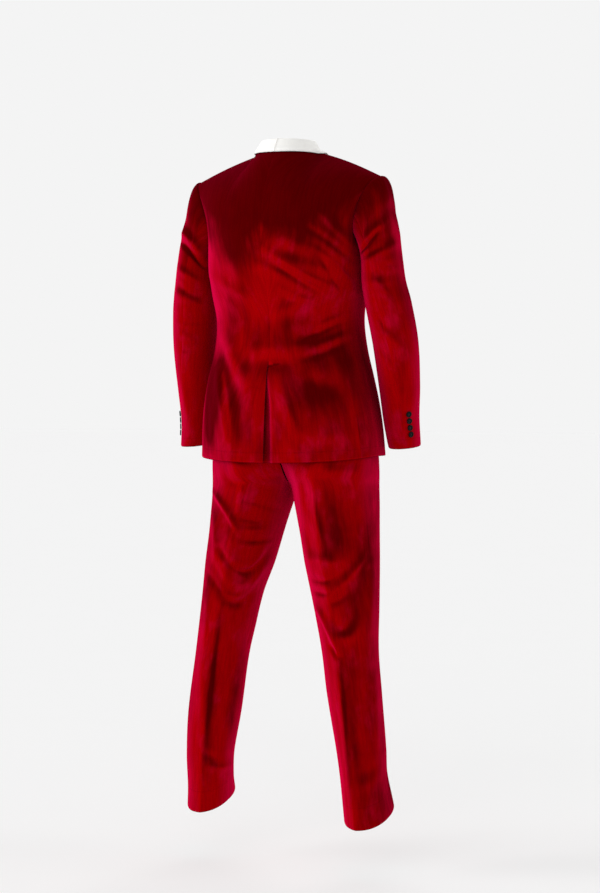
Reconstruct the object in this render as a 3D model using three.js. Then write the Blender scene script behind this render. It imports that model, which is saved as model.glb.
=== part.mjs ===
// A velvet evening suit in its worn shape: a one-button jacket with a shawl collar, and flat-front trousers.
// Millimetres, +Z up. The wearer faces -Y and the wearer's left is +X. The origin is the middle of the neck
// hole at the height of the back neck seam. Every panel is an open wall of cloth, hollow inside.
import * as THREE from "three";

// Driving sizes
const CLOTH = 2; // velvet with its canvas
const SEAM_GAP = 0.3;
const JACKET_HEM = -695;
const CUFF = -668;
const BUTTON_HEIGHT = -392; // the single front button
const SHOULDER_TIP = { x: 228, y: 2, z: -56 };
const NECK_POINT = { x: 74, y: 5, z: 4 };
const BACK_NECK = { x: 0, y: 74, z: 5 };
const VENT_TOP = -483;
const VENT_UNDERLAP = 36;
const FRONT_OVERLAP = 18; // each front runs this far past the centre
const FRONT_LAP = 11; // the left front stands off by both collars and the right front
const COLLAR_STAND = 24;
const COLLAR_FALL = 14; // how far it comes down over the back
const COLLAR_LIFT = 1.5; // air between the collar and the cloth it lies on
const BUTTON_RADIUS = 6.8;
const BUTTON_PITCH = 14.8;
const SLEEVE_BUTTONS = 4;
const BUTTON_COLUMN = 0.89; // where they stand across the sleeve's top piece
const WAIST_TOP = -388; // trousers
const WAIST_SEAM = -426;
const CROTCH = -755;
const SEAT_DRIFT = 14; // the seat is pulled this far to the wearer's right
const LEG_TURN = { left: 12, right: 0 }; // the left foot is turned out, and its leg's creases with it
const TROUSER_HEM = -1492;
const HEM_SLANT = 23; // the hem rises to the instep and dips at the heel

const HEM_DIP = { back: 9, side: -6.5 }; // the jacket's hem hangs lower at the back than at the sides
const CENTRE_DRIFT = 9; // the back seam runs this far to the wearer's right, as the body is turned

const TORSO_ROUND = 2.25; // exponent of the body's superellipse sections
const LEG_ROUND = 2.1;

// Sections of the jacket's body, from the armhole down
const TORSO = [
  { z: -180, wide: 187, mid: 15, back: 150, front: -112 },
  { z: -255, wide: 187, mid: 14, back: 148, front: -114 },
  { z: -320, wide: 183, mid: 8, back: 137, front: -113 },
  { z: -385, wide: 175, mid: 2, back: 122, front: -113 },
  { z: -450, wide: 181, mid: -2, back: 122, front: -121 },
  { z: -510, wide: 194, mid: -4, back: 131, front: -133 },
  { z: -570, wide: 206, mid: -6, back: 135, front: -142 },
  { z: -630, wide: 214, mid: -8, back: 134, front: -148 },
  { z: -695, wide: 219, mid: -10, back: 131, front: -152 },
];

// Where the seams run round the body, in degrees from the centre back
const BODY_SEAMS = [
  { z: -180, back: 75, front: 115 },
  { z: -300, back: 68, front: 112 },
  { z: -390, back: 62, front: 110 },
  { z: -695, back: 66, front: 112 },
];

// How far each front's edge runs past the centre (negative) or falls short of it
const FRONT_EDGE = [
  { z: -392, x: -18 },
  { z: -460, x: -16 },
  { z: -530, x: -9 },
  { z: -590, x: 3 },
  { z: -640, x: 20 },
  { z: -670, x: 38 },
  { z: -685, x: 56 },
  { z: -695, x: 82 },
];

// The arm inside the sleeve: the wearer's left arm stands out further
const ARM = [
  { z: -240, left: 234, right: 234, y: 15, wide: 43, deep: 60 },
  { z: -300, left: 240, right: 238, y: 13, wide: 47, deep: 60 },
  { z: -350, left: 247, right: 246, y: 6, wide: 50, deep: 58 },
  { z: -435, left: 256, right: 256, y: -10, wide: 50, deep: 54 },
  { z: -533, left: 264, right: 255, y: -35, wide: 45, deep: 50 },
  { z: -606, left: 271, right: 252, y: -52, wide: 39, deep: 47 },
  { z: -668, left: 286, right: 253, y: -68, wide: 34, deep: 46 },
];

// The sleeve's back seam, in degrees round the arm from its outer side
const ELBOW_SEAM = [
  { z: -180, angle: 100 },
  { z: -435, angle: 88 },
  { z: -560, angle: 66 },
  { z: -668, angle: 50 },
];
const FRONT_SEAM_ANGLE = 236;
const BACK_CORNER_ANGLE = 120; // where the side panel's seams meet the armhole, round the arm
const FRONT_CORNER_ANGLE = 232;

// Each leg is one round section; above the crotch the two run into each other at the centre seams
const PELVIS = [
  { z: -388, x: 0, y: 0, wide: 158, back: 105, front: 98 },
  { z: -426, x: 0, y: 0, wide: 160, back: 106, front: 100 },
  { z: -480, x: 12, y: -2, wide: 161, back: 113, front: 108 },
  { z: -560, x: 28, y: -6, wide: 162, back: 125, front: 118 },
  { z: -640, x: 52, y: -10, wide: 147, back: 126, front: 121 },
  { z: -690, x: 70, y: -14, wide: 131.5, back: 122, front: 119 },
  { z: -730, x: 89, y: -15.5, wide: 112.5, back: 117, front: 116 },
  { z: -755, x: 100.3, y: -16, wide: 100, back: 113.5, front: 113 },
];
const LEFT_LEG = [
  { z: -800, x: 107.5, y: -14, wide: 91, back: 107, front: 106 },
  { z: -850, x: 115, y: -9, wide: 83, back: 101, front: 100 },
  { z: -935, x: 128, y: 5, wide: 76, back: 91, front: 90 },
  { z: -1010, x: 143, y: 14, wide: 66, back: 80, front: 80 },
  { z: -1142, x: 169, y: 14, wide: 60, back: 68, front: 67 },
  { z: -1279, x: 191, y: 12, wide: 60, back: 64, front: 64 },
  { z: -1379, x: 207, y: 5, wide: 53, back: 60, front: 62 },
  { z: -1448, x: 214, y: -7, wide: 49, back: 60, front: 66 },
  { z: -1492, x: 220, y: -18, wide: 49, back: 64, front: 78 },
];
const RIGHT_LEG = [
  { z: -800, x: 109, y: -14.5, wide: 93.5, back: 108, front: 107 },
  { z: -850, x: 117, y: -12, wide: 87, back: 103, front: 102 },
  { z: -935, x: 130, y: -2, wide: 80.5, back: 94, front: 92 },
  { z: -1028, x: 143, y: 5, wide: 71, back: 80, front: 80 },
  { z: -1124, x: 154, y: 9, wide: 62, back: 70, front: 68 },
  { z: -1218, x: 164, y: 9, wide: 60, back: 66, front: 65 },
  { z: -1343, x: 178, y: 3, wide: 54, back: 62, front: 62 },
  { z: -1404, x: 183, y: 1, wide: 50, back: 60, front: 63 },
  { z: -1492, x: 191, y: -8, wide: 51, back: 65, front: 79 },
];

// The shawl collar: how wide it lies on the cloth, from the shoulder seam (0) to the button (1)
const LAPEL = [
  { along: 0, width: 18 },
  { along: 0.12, width: 34 },
  { along: 0.35, width: 60 },
  { along: 0.6, width: 66 },
  { along: 0.82, width: 44 },
  { along: 1, width: 7 },
];

// The largest soft folds on the body, as ridges between two points of the back, wearer's right negative
const BODY_FOLDS = [
  { fromX: -10, fromZ: -222, toX: -172, toZ: -292, width: 15, height: 5 },
  { fromX: 10, fromZ: -262, toX: -176, toZ: -322, width: 13, height: 4 },
  { fromX: -20, fromZ: -372, toX: -150, toZ: -330, width: 14, height: 4 },
  { fromX: 40, fromZ: -335, toX: 165, toZ: -275, width: 15, height: 4 },
  { fromX: 128, fromZ: -470, toX: 108, toZ: -690, width: 22, height: 7 },
  { fromX: -26, fromZ: -490, toX: -66, toZ: -690, width: 22, height: 5 },
  { fromX: -150, fromZ: -470, toX: -168, toZ: -690, width: 24, height: 5 },
  { fromX: 178, fromZ: -440, toX: 186, toZ: -690, width: 20, height: 4 },
];

const velvet = new THREE.MeshStandardMaterial({ color: 0x8b0010, roughness: 0.8, metalness: 0 });
const trimCloth = new THREE.MeshStandardMaterial({ color: 0xf1ece4, roughness: 0.6, metalness: 0 });
const blackButton = new THREE.MeshStandardMaterial({ color: 0x0b0a0b, roughness: 0.2, metalness: 0 });

const suit = new THREE.Group();
const vec = (x, y, z) => new THREE.Vector3(x, y, z);
const radians = THREE.MathUtils.degToRad;
const lerp = THREE.MathUtils.lerp;
const steps = (count) => Array.from({ length: count + 1 }, (_, i) => i / count);
const smooth = (t) => t * t * (3 - 2 * t);
const clamp01 = (t) => Math.min(1, Math.max(0, t));

// One column of a table at a height between its rows, as a smooth curve through them.
function column(table, name, at, by = "z") {
  const order = Math.sign(table[1][by] - table[0][by]);
  let i = 1;
  while (i < table.length - 1 && (at - table[i][by]) * order > 0) i++;
  const slope = (k) => {
    const a = table[Math.max(0, k - 1)];
    const b = table[Math.min(table.length - 1, k + 1)];
    return (b[name] - a[name]) / (b[by] - a[by]);
  };
  const start = table[i - 1];
  const end = table[i];
  const span = end[by] - start[by];
  const t = clamp01((at - start[by]) / span);
  const t2 = t * t;
  const t3 = t2 * t;
  return (
    (2 * t3 - 3 * t2 + 1) * start[name] +
    (t3 - 2 * t2 + t) * span * slope(i - 1) +
    (3 * t2 - 2 * t3) * end[name] +
    (t3 - t2) * span * slope(i)
  );
}

// A cubic from one point to another, leaving and arriving along the given vectors.
function hermite(start, leave, end, arrive, t) {
  const t2 = t * t;
  const t3 = t2 * t;
  return vec(0, 0, 0)
    .addScaledVector(start, 2 * t3 - 3 * t2 + 1)
    .addScaledVector(leave, t3 - 2 * t2 + t)
    .addScaledVector(end, 3 * t2 - 2 * t3)
    .addScaledVector(arrive, t3 - t2);
}

// A four-sided patch of cloth between its bottom, top and two side curves.
function patch(bottom, top, first, last) {
  return (u, w) => {
    const k = smooth(w) ** 2.2;
    const corner = (at) => bottom(at).multiplyScalar(1 - k).addScaledVector(top(at), k);
    return bottom(u)
      .multiplyScalar(1 - k)
      .addScaledVector(top(u), k)
      .addScaledVector(first(w), 1 - u)
      .addScaledVector(last(w), u)
      .addScaledVector(corner(0), u - 1)
      .addScaledVector(corner(1), -u);
  };
}

const power = (value, exponent) => Math.sign(value) * Math.abs(value) ** exponent;

// How far the soft folds lift the cloth at a place on the body.
function foldLift(folds, x, z) {
  let lift = 0;
  for (const f of folds) {
    const dx = f.toX - f.fromX;
    const dz = f.toZ - f.fromZ;
    const along = ((x - f.fromX) * dx + (z - f.fromZ) * dz) / (dx * dx + dz * dz);
    const held = clamp01(along);
    const off = Math.hypot(x - f.fromX - held * dx, z - f.fromZ - held * dz);
    const fade = Math.sin(Math.PI * clamp01(0.12 + 0.76 * held));
    lift += f.height * fade * Math.exp(-((off / f.width) ** 2));
  }
  return lift;
}

// A point on the jacket's body, by the angle from the centre back and the height.
function torso(side, degrees, z) {
  const s = Math.sin(radians(degrees));
  const c = Math.cos(radians(degrees));
  const mid = column(TORSO, "mid", z);
  const depth = c > 0 ? column(TORSO, "back", z) - mid : mid - column(TORSO, "front", z);
  const x = column(TORSO, "wide", z) * power(s, 2 / TORSO_ROUND);
  const y = mid + depth * power(c, 2 / TORSO_ROUND);
  const onBack = smooth(clamp01((c + 0.25) / 0.35));
  const below = smooth(clamp01((-190 - z) / 40));
  const lift = foldLift(BODY_FOLDS, side * x, z) * onBack * below;
  const out = Math.hypot(x, y - mid);
  const dip = lerp(HEM_DIP.side, HEM_DIP.back, Math.max(0, c) ** 1.3) * smooth(clamp01((-500 - z) / 195));
  return vec(side * (x + (x / out) * lift), y + ((y - mid) / out) * lift, z - dip);
}

// The right shoulder is held lower than the left.
function settle(p) {
  return p.setZ(p.z + (0.018 * p.x - 6) * smooth(clamp01((p.z + 350) / 220)));
}

// The angle at which the body's section stands at a given distance from the centre plane.
function torsoAngle(x, z, front) {
  const share = clamp01(Math.abs(x) / column(TORSO, "wide", z)) * Math.sign(x || 1);
  const s = power(share, TORSO_ROUND / 2);
  const angle = THREE.MathUtils.radToDeg(Math.asin(s));
  return front ? 180 - angle : angle;
}

// A panel of cloth: points on its outer face, and the same points moved in by its thickness.
// planes holds, for an edge that lies in a seam plane, that plane's normal.
function cloth(name, material, surface, us, vs, core, planes = {}, thickness = CLOTH) {
  const nudge = 1e-3;
  const du = (u, v) => surface(u + nudge, v).sub(surface(u - nudge, v)).normalize();
  const dv = (u, v) => surface(u, v + nudge).sub(surface(u, v - nudge)).normalize();
  const middle = [us[us.length >> 1], vs[vs.length >> 1]];
  const away = surface(...middle).sub(core);
  const turn = Math.sign(du(...middle).cross(dv(...middle)).dot(away));
  const points = vs.map((v) => us.map((u) => surface(u, v)));
  const outer = [];
  const inner = [];
  vs.forEach((v, j) =>
    us.forEach((u, i) => {
      const alongU = du(u, v);
      const alongV = dv(u, v);
      const normal = alongU.clone().cross(alongV).multiplyScalar(turn).normalize();
      const point = points[j][i].clone();
      const edges = [
        ["first", i === 0, alongU, points[j][1]],
        ["last", i === us.length - 1, alongU.clone().negate(), points[j][us.length - 2]],
        ["top", j === 0, alongV, points[1][i]],
        ["bottom", j === vs.length - 1, alongV.clone().negate(), points[vs.length - 2][i]],
      ];
      for (const [edge, here, inward, neighbour] of edges) {
        if (!here) continue;
        const plane = typeof planes[edge] === "function" ? planes[edge](u, v) : planes[edge];
        if (!plane) {
          point.addScaledVector(inward, SEAM_GAP / 2);
          continue;
        }
        const towards = Math.sign(neighbour.clone().sub(points[j][i]).dot(plane)) || 1;
        point.addScaledVector(plane, (towards * SEAM_GAP) / 2);
        normal.addScaledVector(plane, -normal.dot(plane)).normalize();
      }
      outer.push(point);
      inner.push(point.clone().addScaledVector(normal, -thickness));
    }),
  );
  return addMesh(name, material, wallGeometry(outer, inner, us.length, vs.length, turn > 0));
}

// The closed skin round a wall whose two faces are grids of points.
function wallGeometry(outer, inner, columns, rows, forwards) {
  const positions = [];
  for (const p of [...outer, ...inner]) positions.push(p.x, p.y, p.z);
  const shift = outer.length;
  const index = [];
  const quad = (a, b, c, d) => (forwards ? index.push(a, b, c, a, c, d) : index.push(a, c, b, a, d, c));
  const at = (i, j) => j * columns + i;
  for (let j = 0; j < rows - 1; j++)
    for (let i = 0; i < columns - 1; i++) {
      quad(at(i, j), at(i + 1, j), at(i + 1, j + 1), at(i, j + 1));
      quad(shift + at(i, j + 1), shift + at(i + 1, j + 1), shift + at(i + 1, j), shift + at(i, j));
    }
  const rim = [];
  for (let i = 0; i < columns - 1; i++) rim.push(at(i, 0));
  for (let j = 0; j < rows - 1; j++) rim.push(at(columns - 1, j));
  for (let i = columns - 1; i > 0; i--) rim.push(at(i, rows - 1));
  for (let j = rows - 1; j > 0; j--) rim.push(at(0, j));
  rim.forEach((a, k) => {
    const b = rim[(k + 1) % rim.length];
    quad(b, a, shift + a, shift + b);
  });
  const geometry = new THREE.BufferGeometry();
  geometry.setAttribute("position", new THREE.Float32BufferAttribute(positions, 3));
  geometry.setIndex(index);
  geometry.computeVertexNormals();
  return geometry;
}

function addMesh(name, material, geometry) {
  const mesh = new THREE.Mesh(geometry, material);
  mesh.name = name;
  suit.add(mesh);
  return mesh;
}

// ---- Jacket body ----

const mirrored = (side, p) => vec(side * p.x, p.y, p.z);
const tip = vec(SHOULDER_TIP.x, SHOULDER_TIP.y, SHOULDER_TIP.z);
const neck = vec(NECK_POINT.x, NECK_POINT.y, NECK_POINT.z);
const backNeck = vec(BACK_NECK.x, BACK_NECK.y, BACK_NECK.z);
const BACK_TOP = -180; // below this the body is one ring
const FRONT_TOP = -190;
const NECK_SHARE = 0.36; // share of the back's top edge that is neckline

// The armhole's edges on the back and the front, from the side seam's corner up to the shoulder tip.
const backArmhole = (w) =>
  hermite(torso(1, 75, BACK_TOP), vec(10, 40, 190), tip, vec(0, -180, 0), w);
const frontArmhole = (w) =>
  hermite(torso(1, 115, FRONT_TOP), vec(-20, -100, 180), tip, vec(0, 180, 0), w);

// The shoulder seam, from the neck point to the tip, a little hollow in the middle.
const shoulderSeam = (t) =>
  vec(lerp(neck.x, tip.x, t), lerp(neck.y, tip.y, t), lerp(neck.z, tip.z, t) + 5 * Math.sin(Math.PI * t));

// The back neckline, a quarter round from the centre back to the neck point.
function backNeckline(t) {
  const turn = (t * Math.PI) / 2;
  return vec(
    neck.x * Math.sin(turn),
    neck.y + (backNeck.y - neck.y) * Math.cos(turn),
    lerp(backNeck.z, neck.z, t * t),
  );
}

const backYoke = patch(
  (u) => torso(1, 75 * u, BACK_TOP),
  (u) => (u < NECK_SHARE ? backNeckline(u / NECK_SHARE) : shoulderSeam((u - NECK_SHARE) / (1 - NECK_SHARE))),
  (w) => hermite(torso(1, 0, BACK_TOP), vec(0, 8, 190), backNeck, vec(0, -110, 110), w),
  backArmhole,
);

const YOKE_SHARE = 0.34; // share of a panel's rows that lies above the armhole's foot
const below = (v) => (v - YOKE_SHARE) / (1 - YOKE_SHARE);

// The left back lifts a little over the vent, and the right back sinks under it, more towards the hem.
const VENT_LIFT = 2.4;
function ventSink(x, z) {
  const gape = smooth(clamp01((VENT_TOP - z) / 110));
  const mouth = (0.6 + 7.4 * gape) * smooth(clamp01((1 + 12 * gape - x) / (4 + 12 * gape)));
  return mouth + 3 * smooth(clamp01((-2 - x) / 10));
}

function backSurface(side) {
  return (u, v) => {
    if (v < YOKE_SHARE) return settle(mirrored(side, backYoke(u, 1 - v / YOKE_SHARE)));
    const z = lerp(BACK_TOP, JACKET_HEM, below(v));
    const vent = smooth(clamp01((VENT_TOP + 8 - z) / 10));
    const last = column(BODY_SEAMS, "back", z);
    const open = clamp01((VENT_TOP - z) / (VENT_TOP - JACKET_HEM));
    const reach = VENT_UNDERLAP * smooth(clamp01((VENT_TOP - 1 - z) / 8));
    const drift = CENTRE_DRIFT * smooth(clamp01((BACK_TOP - z) / 150));
    const x0 = side > 0 ? 12 * open - drift : drift - reach;
    const first = torsoAngle(x0, z, false);
    const degrees = lerp(first, last, u);
    const point = torso(side, degrees, z);
    const x = (point.x + drift) * side;
    const lift = VENT_LIFT * Math.exp(-((x / 30) ** 2)) * smooth(clamp01((VENT_TOP + 26 - z) / 32));
    const away = side > 0 ? lift : lerp(lift, -ventSink(x, z), vent);
    return settle(point.add(vec(0, away, 0)));
  };
}

// The roll line of the front: the opening's edge above the button, and the front edge below it.
const ROLL_FOOT = vec(-FRONT_OVERLAP, 0, BUTTON_HEIGHT);
function frontEdgeX(z) {
  if (z < BUTTON_HEIGHT) return column(FRONT_EDGE, "x", z);
  const t = (z - BUTTON_HEIGHT) / (FRONT_TOP - BUTTON_HEIGHT);
  return lerp(ROLL_FOOT.x, 44, t) + 7 * Math.sin(Math.PI * 0.5 * t) * (1 - t);
}

// The left front laps over the right one about the button.
function frontLap(side, x, z) {
  if (side < 0) return 0;
  const near = smooth(clamp01((75 - x) / 50));
  const low = smooth(clamp01((-270 - z) / 60));
  return FRONT_LAP * near * low;
}

function frontLower(side, u, z) {
  const first = column(BODY_SEAMS, "front", z);
  const last = torsoAngle(frontEdgeX(z), z, true);
  const point = torso(side, lerp(first, last, u), z);
  return point.add(vec(0, -frontLap(side, point.x * side, z), 0));
}

const frontYoke = patch(
  (u) => frontLower(-1, u, FRONT_TOP).multiply(vec(-1, 1, 1)),
  (u) => shoulderSeam(1 - u),
  frontArmhole,
  (w) => {
    const foot = frontLower(-1, 1, FRONT_TOP).multiply(vec(-1, 1, 1));
    return hermite(foot, vec(14, 12, 170), neck, vec(30, 150, 90), w);
  },
);

function frontSurface(side) {
  return (u, v) => {
    if (v < YOKE_SHARE) return settle(mirrored(side, frontYoke(u, 1 - v / YOKE_SHARE)));
    return settle(frontLower(side, u, lerp(FRONT_TOP, JACKET_HEM, below(v))));
  };
}

// The heights of the body's rows of points, shared by the panels on both sides of a seam.
const BODY_HEIGHTS = [
  -208, -235, -265, -297, -330, -363, -395, -425, -453, -477, -484, -492, -525, -560, -595, -628, -658, -680, -695,
];

// The underarm panel hangs from the foot of the armhole, which dips between the two seams.
const ARMHOLE_FOOT = -226;
const SCOOP_ROWS = 3; // rows that follow the dip before they run level
function sideTop(degrees) {
  const back = BODY_SEAMS[0].back;
  const front = BODY_SEAMS[0].front;
  const t = clamp01((degrees - back) / (front - back));
  const ends = lerp(BACK_TOP, FRONT_TOP, t);
  return lerp(ends, ARMHOLE_FOOT, Math.sin(Math.PI * t) ** 0.8);
}

function sideSurface(side) {
  const heights = [FRONT_TOP, ...BODY_HEIGHTS];
  return (u, v) => {
    const row = clamp01(v) * BODY_HEIGHTS.length;
    const k = Math.min(Math.floor(row), BODY_HEIGHTS.length - 1);
    const height = (j) => {
      if (j >= SCOOP_ROWS) return heights[j];
      const level = j === 0 ? lerp(BACK_TOP, FRONT_TOP, u) : heights[j];
      const dipped = lerp(ARMHOLE_FOOT, heights[SCOOP_ROWS], j / SCOOP_ROWS);
      return lerp(level, dipped, Math.sin(Math.PI * clamp01(u)) ** 0.8);
    };
    const z = lerp(height(k), height(k + 1), row - k);
    return settle(torso(side, lerp(column(BODY_SEAMS, "back", z), column(BODY_SEAMS, "front", z), u), z));
  };
}

const rowAt = (z, top) => lerp(YOKE_SHARE, 1, (z - top) / (JACKET_HEM - top));
const yokeRows = steps(7).map((t) => t * YOKE_SHARE);
const backRows = [...yokeRows, ...BODY_HEIGHTS.map((z) => rowAt(z, BACK_TOP))];
const frontRows = [...yokeRows, ...BODY_HEIGHTS.map((z) => rowAt(z, FRONT_TOP))];
const neckColumns = steps(6).map((t) => t * NECK_SHARE);
const backColumns = [...neckColumns, 0.5, 0.64, 0.78, 0.9, 1];
const acrossFront = [0, 0.14, 0.28, 0.42, 0.56, 0.7, 0.84, 0.93, 1];
const torsoCore = vec(0, 0, -400);
const SHOULDER_PLANE = vec(0, 1, 0);
const CENTRE_PLANE = vec(1, 0, 0);

for (const [word, side] of [["left", 1], ["right", -1]]) {
  const aboveVent = (v) => v < YOKE_SHARE || lerp(BACK_TOP, JACKET_HEM, below(v)) > VENT_TOP;
  const ventFree = (u, v) => (aboveVent(v) ? CENTRE_PLANE : null);
  const shoulderOnly = (u) => (u >= NECK_SHARE - 0.01 ? SHOULDER_PLANE : null);
  cloth("back_" + word, velvet, backSurface(side), backColumns, backRows, torsoCore, {
    first: ventFree,
    top: shoulderOnly,
  });
  cloth("side_" + word, velvet, sideSurface(side), steps(5), steps(BODY_HEIGHTS.length), torsoCore);
  cloth("front_" + word, velvet, frontSurface(side), acrossFront, frontRows, torsoCore, { top: SHOULDER_PLANE });
}

// ---- Sleeves: a top and an under panel, whose back seam ends in the cuff vent ----

// The armhole as one ring round the arm: 0 degrees at the shoulder tip, 90 at the back.
function armhole(degrees) {
  const turn = ((degrees % 360) + 360) % 360;
  if (turn < BACK_CORNER_ANGLE) return backArmhole(1 - turn / BACK_CORNER_ANGLE);
  if (turn > FRONT_CORNER_ANGLE)
    return frontArmhole((turn - FRONT_CORNER_ANGLE) / (360 - FRONT_CORNER_ANGLE));
  const t = (turn - BACK_CORNER_ANGLE) / (FRONT_CORNER_ANGLE - BACK_CORNER_ANGLE);
  const round = lerp(BODY_SEAMS[0].back, BODY_SEAMS[0].front, t);
  return torso(1, round, sideTop(round));
}

// A point on the sleeve below its head; the section stands square to the forearm.
function armRing(word, degrees, z) {
  const c = Math.cos(radians(degrees));
  const s = Math.sin(radians(degrees));
  const slope = (column(ARM, "y", z + 15) - column(ARM, "y", z - 15)) / 30;
  const reach = column(ARM, "deep", z) * s;
  const x = column(ARM, word, z) + column(ARM, "wide", z) * c;
  return vec(x, column(ARM, "y", z) + reach, z - slope * reach);
}

const HEAD_FOOT = -256; // where the sleeve's head ends and its even tube begins
function sleeveSurface(word, side, start, end) {
  const HEAD_SHARE = 0.3;
  return (u, v) => {
    const z = lerp(-180, CUFF, clamp01(v));
    const degrees = lerp(start(z), end(z), u);
    const c = Math.cos(radians(degrees));
    const s = Math.sin(radians(degrees));
    const footZ = HEAD_FOOT + 10 * c;
    if (v > HEAD_SHARE) {
      const t = (v - HEAD_SHARE) / (1 - HEAD_SHARE);
      return settle(mirrored(side, armRing(word, degrees, lerp(footZ, CUFF, t))));
    }
    const high = (1 + c) / 2;
    const leave = vec(7 + 64 * high, 24 * s, 14 * high + 36 * high ** 4 - 20 * (1 - Math.abs(c)));
    const foot = armRing(word, degrees, footZ);
    const next = armRing(word, degrees, footZ - 8);
    const arrive = next.sub(foot).normalize().multiplyScalar(30 + 115 * high);
    const from = armhole(degrees).add(vec(SEAM_GAP, 0, 0));
    return settle(mirrored(side, hermite(from, leave, foot, arrive, v / HEAD_SHARE)));
  };
}

const sleeveRows = [...steps(7).map((t) => t * 0.3), ...steps(11).slice(1).map((t) => lerp(0.3, 1, t))];
const elbow = (z) => column(ELBOW_SEAM, "angle", z);
for (const [word, side] of [["left", 1], ["right", -1]]) {
  const sleeveCore = vec(side * 245, 5, -400);
  const top = sleeveSurface(word, side, () => FRONT_SEAM_ANGLE - 360, elbow);
  const under = sleeveSurface(word, side, elbow, () => FRONT_SEAM_ANGLE);
  cloth("sleeve_top_" + word, velvet, top, steps(10), sleeveRows, sleeveCore);
  cloth("sleeve_under_" + word, velvet, under, steps(7), sleeveRows, sleeveCore);
}

// ---- Shawl collar: a strip that wraps the neckline and the roll line and lies on the cloth outside ----

// A frame on the edge that the collar wraps: the point, the way out of the cloth and the way past its edge.
function edgeFrame(side, surface, u, v, across) {
  const d = 1e-3;
  const du = surface(u + d, v).sub(surface(u - d, v)).normalize();
  const dv = surface(u, v + d).sub(surface(u, v - d)).normalize();
  const out = du.clone().cross(dv).normalize();
  out.multiplyScalar(Math.sign(out.dot(surface(u, v).sub(torsoCore))) || 1);
  const tangent = across ? du : dv;
  const past = tangent.clone().cross(out).normalize();
  const inside = across ? surface(u, v + 0.02) : surface(u - 0.02, v);
  if (past.dot(inside.sub(surface(u, v))) > 0) past.negate();
  return { point: surface(u, v), out, past };
}

const BACK_COLLAR_SHARE = 0.24;
const BUTTON_ROW = rowAt(BUTTON_HEIGHT + 4, FRONT_TOP);
const WRAP = CLOTH / 2 + COLLAR_LIFT + CLOTH; // radius of the collar's fold about the edge it wraps
const FACING = 6; // how far the collar's inner leg runs down inside

function collarSurface(side) {
  const back = backSurface(side);
  const front = frontSurface(side);
  return (q, s) => {
    const atBack = s < BACK_COLLAR_SHARE;
    const t = (s - BACK_COLLAR_SHARE) / (1 - BACK_COLLAR_SHARE);
    const u = atBack ? clamp01(s / BACK_COLLAR_SHARE) * NECK_SHARE : 1;
    const v = atBack ? 0 : Math.max(0.004, t) * BUTTON_ROW;
    const surface = atBack ? back : front;
    const frame = edgeFrame(side, surface, u, v, atBack);
    const rise = smooth(clamp01(1 - (s - BACK_COLLAR_SHARE) / 0.28));
    const stand = COLLAR_STAND * rise;
    const width = atBack ? COLLAR_FALL : column(LAPEL, "width", clamp01(t), "along");
    // The stand rises round the neck and leans in to it.
    const centre = vec(0, 12, 0);
    const radial = frame.point.clone().sub(centre).setZ(0).normalize();
    const upright = vec(0, 0, 1).addScaledVector(radial, -0.55).normalize();
    const past = frame.past.clone().multiplyScalar(1 - rise).addScaledVector(upright, rise).normalize();
    const level = frame.out.clone().multiplyScalar(1 - rise).addScaledVector(radial, rise);
    const out = level.addScaledVector(past, -level.dot(past)).normalize();
    const place = (n, e) =>
      frame.point.clone().addScaledVector(out, n - CLOTH / 2).addScaledVector(past, e);
    if (q < 0.18) return place(-WRAP, lerp(-FACING, stand, q / 0.18));
    if (q < 0.42) {
      const turn = (Math.PI * (q - 0.18)) / 0.24;
      return place(-WRAP * Math.cos(turn), stand + WRAP * Math.sin(turn));
    }
    const clear = WRAP - CLOTH / 2 + 0.7 + 1.3 * rise;
    const landing = frame.point.clone().addScaledVector(frame.out, clear);
    if (q < 0.56) return place(WRAP, stand).lerp(landing, (q - 0.42) / 0.14);
    const lie = ((q - 0.56) / 0.44) * width;
    const span = atBack ? 620 : front(1, v).distanceTo(front(0, v));
    const on = atBack
      ? edgeFrame(side, surface, u, v + lie / span, true)
      : edgeFrame(side, front, 1 - lie / span, v, false);
    return on.point.addScaledVector(on.out, clear);
  };
}

const collarAcross = [0, 0.18, 0.24, 0.3, 0.36, 0.42, 0.56, 0.67, 0.78, 0.89, 1];
// The collar's rows stand on the rows of the panels that it wraps.
const collarAlong = [
  ...steps(6).map((t) => t * BACK_COLLAR_SHARE),
  ...[0.02, ...frontRows.slice(1).filter((v) => v < BUTTON_ROW - 0.01), BUTTON_ROW].map((v) =>
    lerp(BACK_COLLAR_SHARE, 1, v / BUTTON_ROW),
  ),
];
for (const [word, side] of [["left", 1], ["right", -1]]) {
  const collarCore = vec(0, -20, -120);
  cloth("collar_" + word, trimCloth, collarSurface(side), collarAcross, collarAlong, collarCore, {
    top: CENTRE_PLANE,
  });
}

// ---- Buttons: a domed disc with a dished face and a short shank ----
function addButton(name, point, out, radius) {
  const dish = radius * 0.62;
  const profile = [
    [0, 0],
    [radius * 0.9, 0],
    [radius, 1.4],
    [radius * 0.86, 2.6],
    [dish, 2.6],
    [0, 1.9],
  ].map(([r, h]) => new THREE.Vector2(r, h));
  const mesh = addMesh(name, blackButton, new THREE.LatheGeometry(profile, 14));
  mesh.quaternion.setFromUnitVectors(vec(0, 1, 0), out);
  mesh.position.copy(point).addScaledVector(out, 0.7);
}

function outward(surface, u, v, core) {
  const d = 1e-3;
  const du = surface(u + d, v).sub(surface(u - d, v));
  const dv = surface(u, v + d).sub(surface(u, v - d));
  const out = du.cross(dv).normalize();
  return out.multiplyScalar(Math.sign(out.dot(surface(u, v).sub(core))));
}

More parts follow.
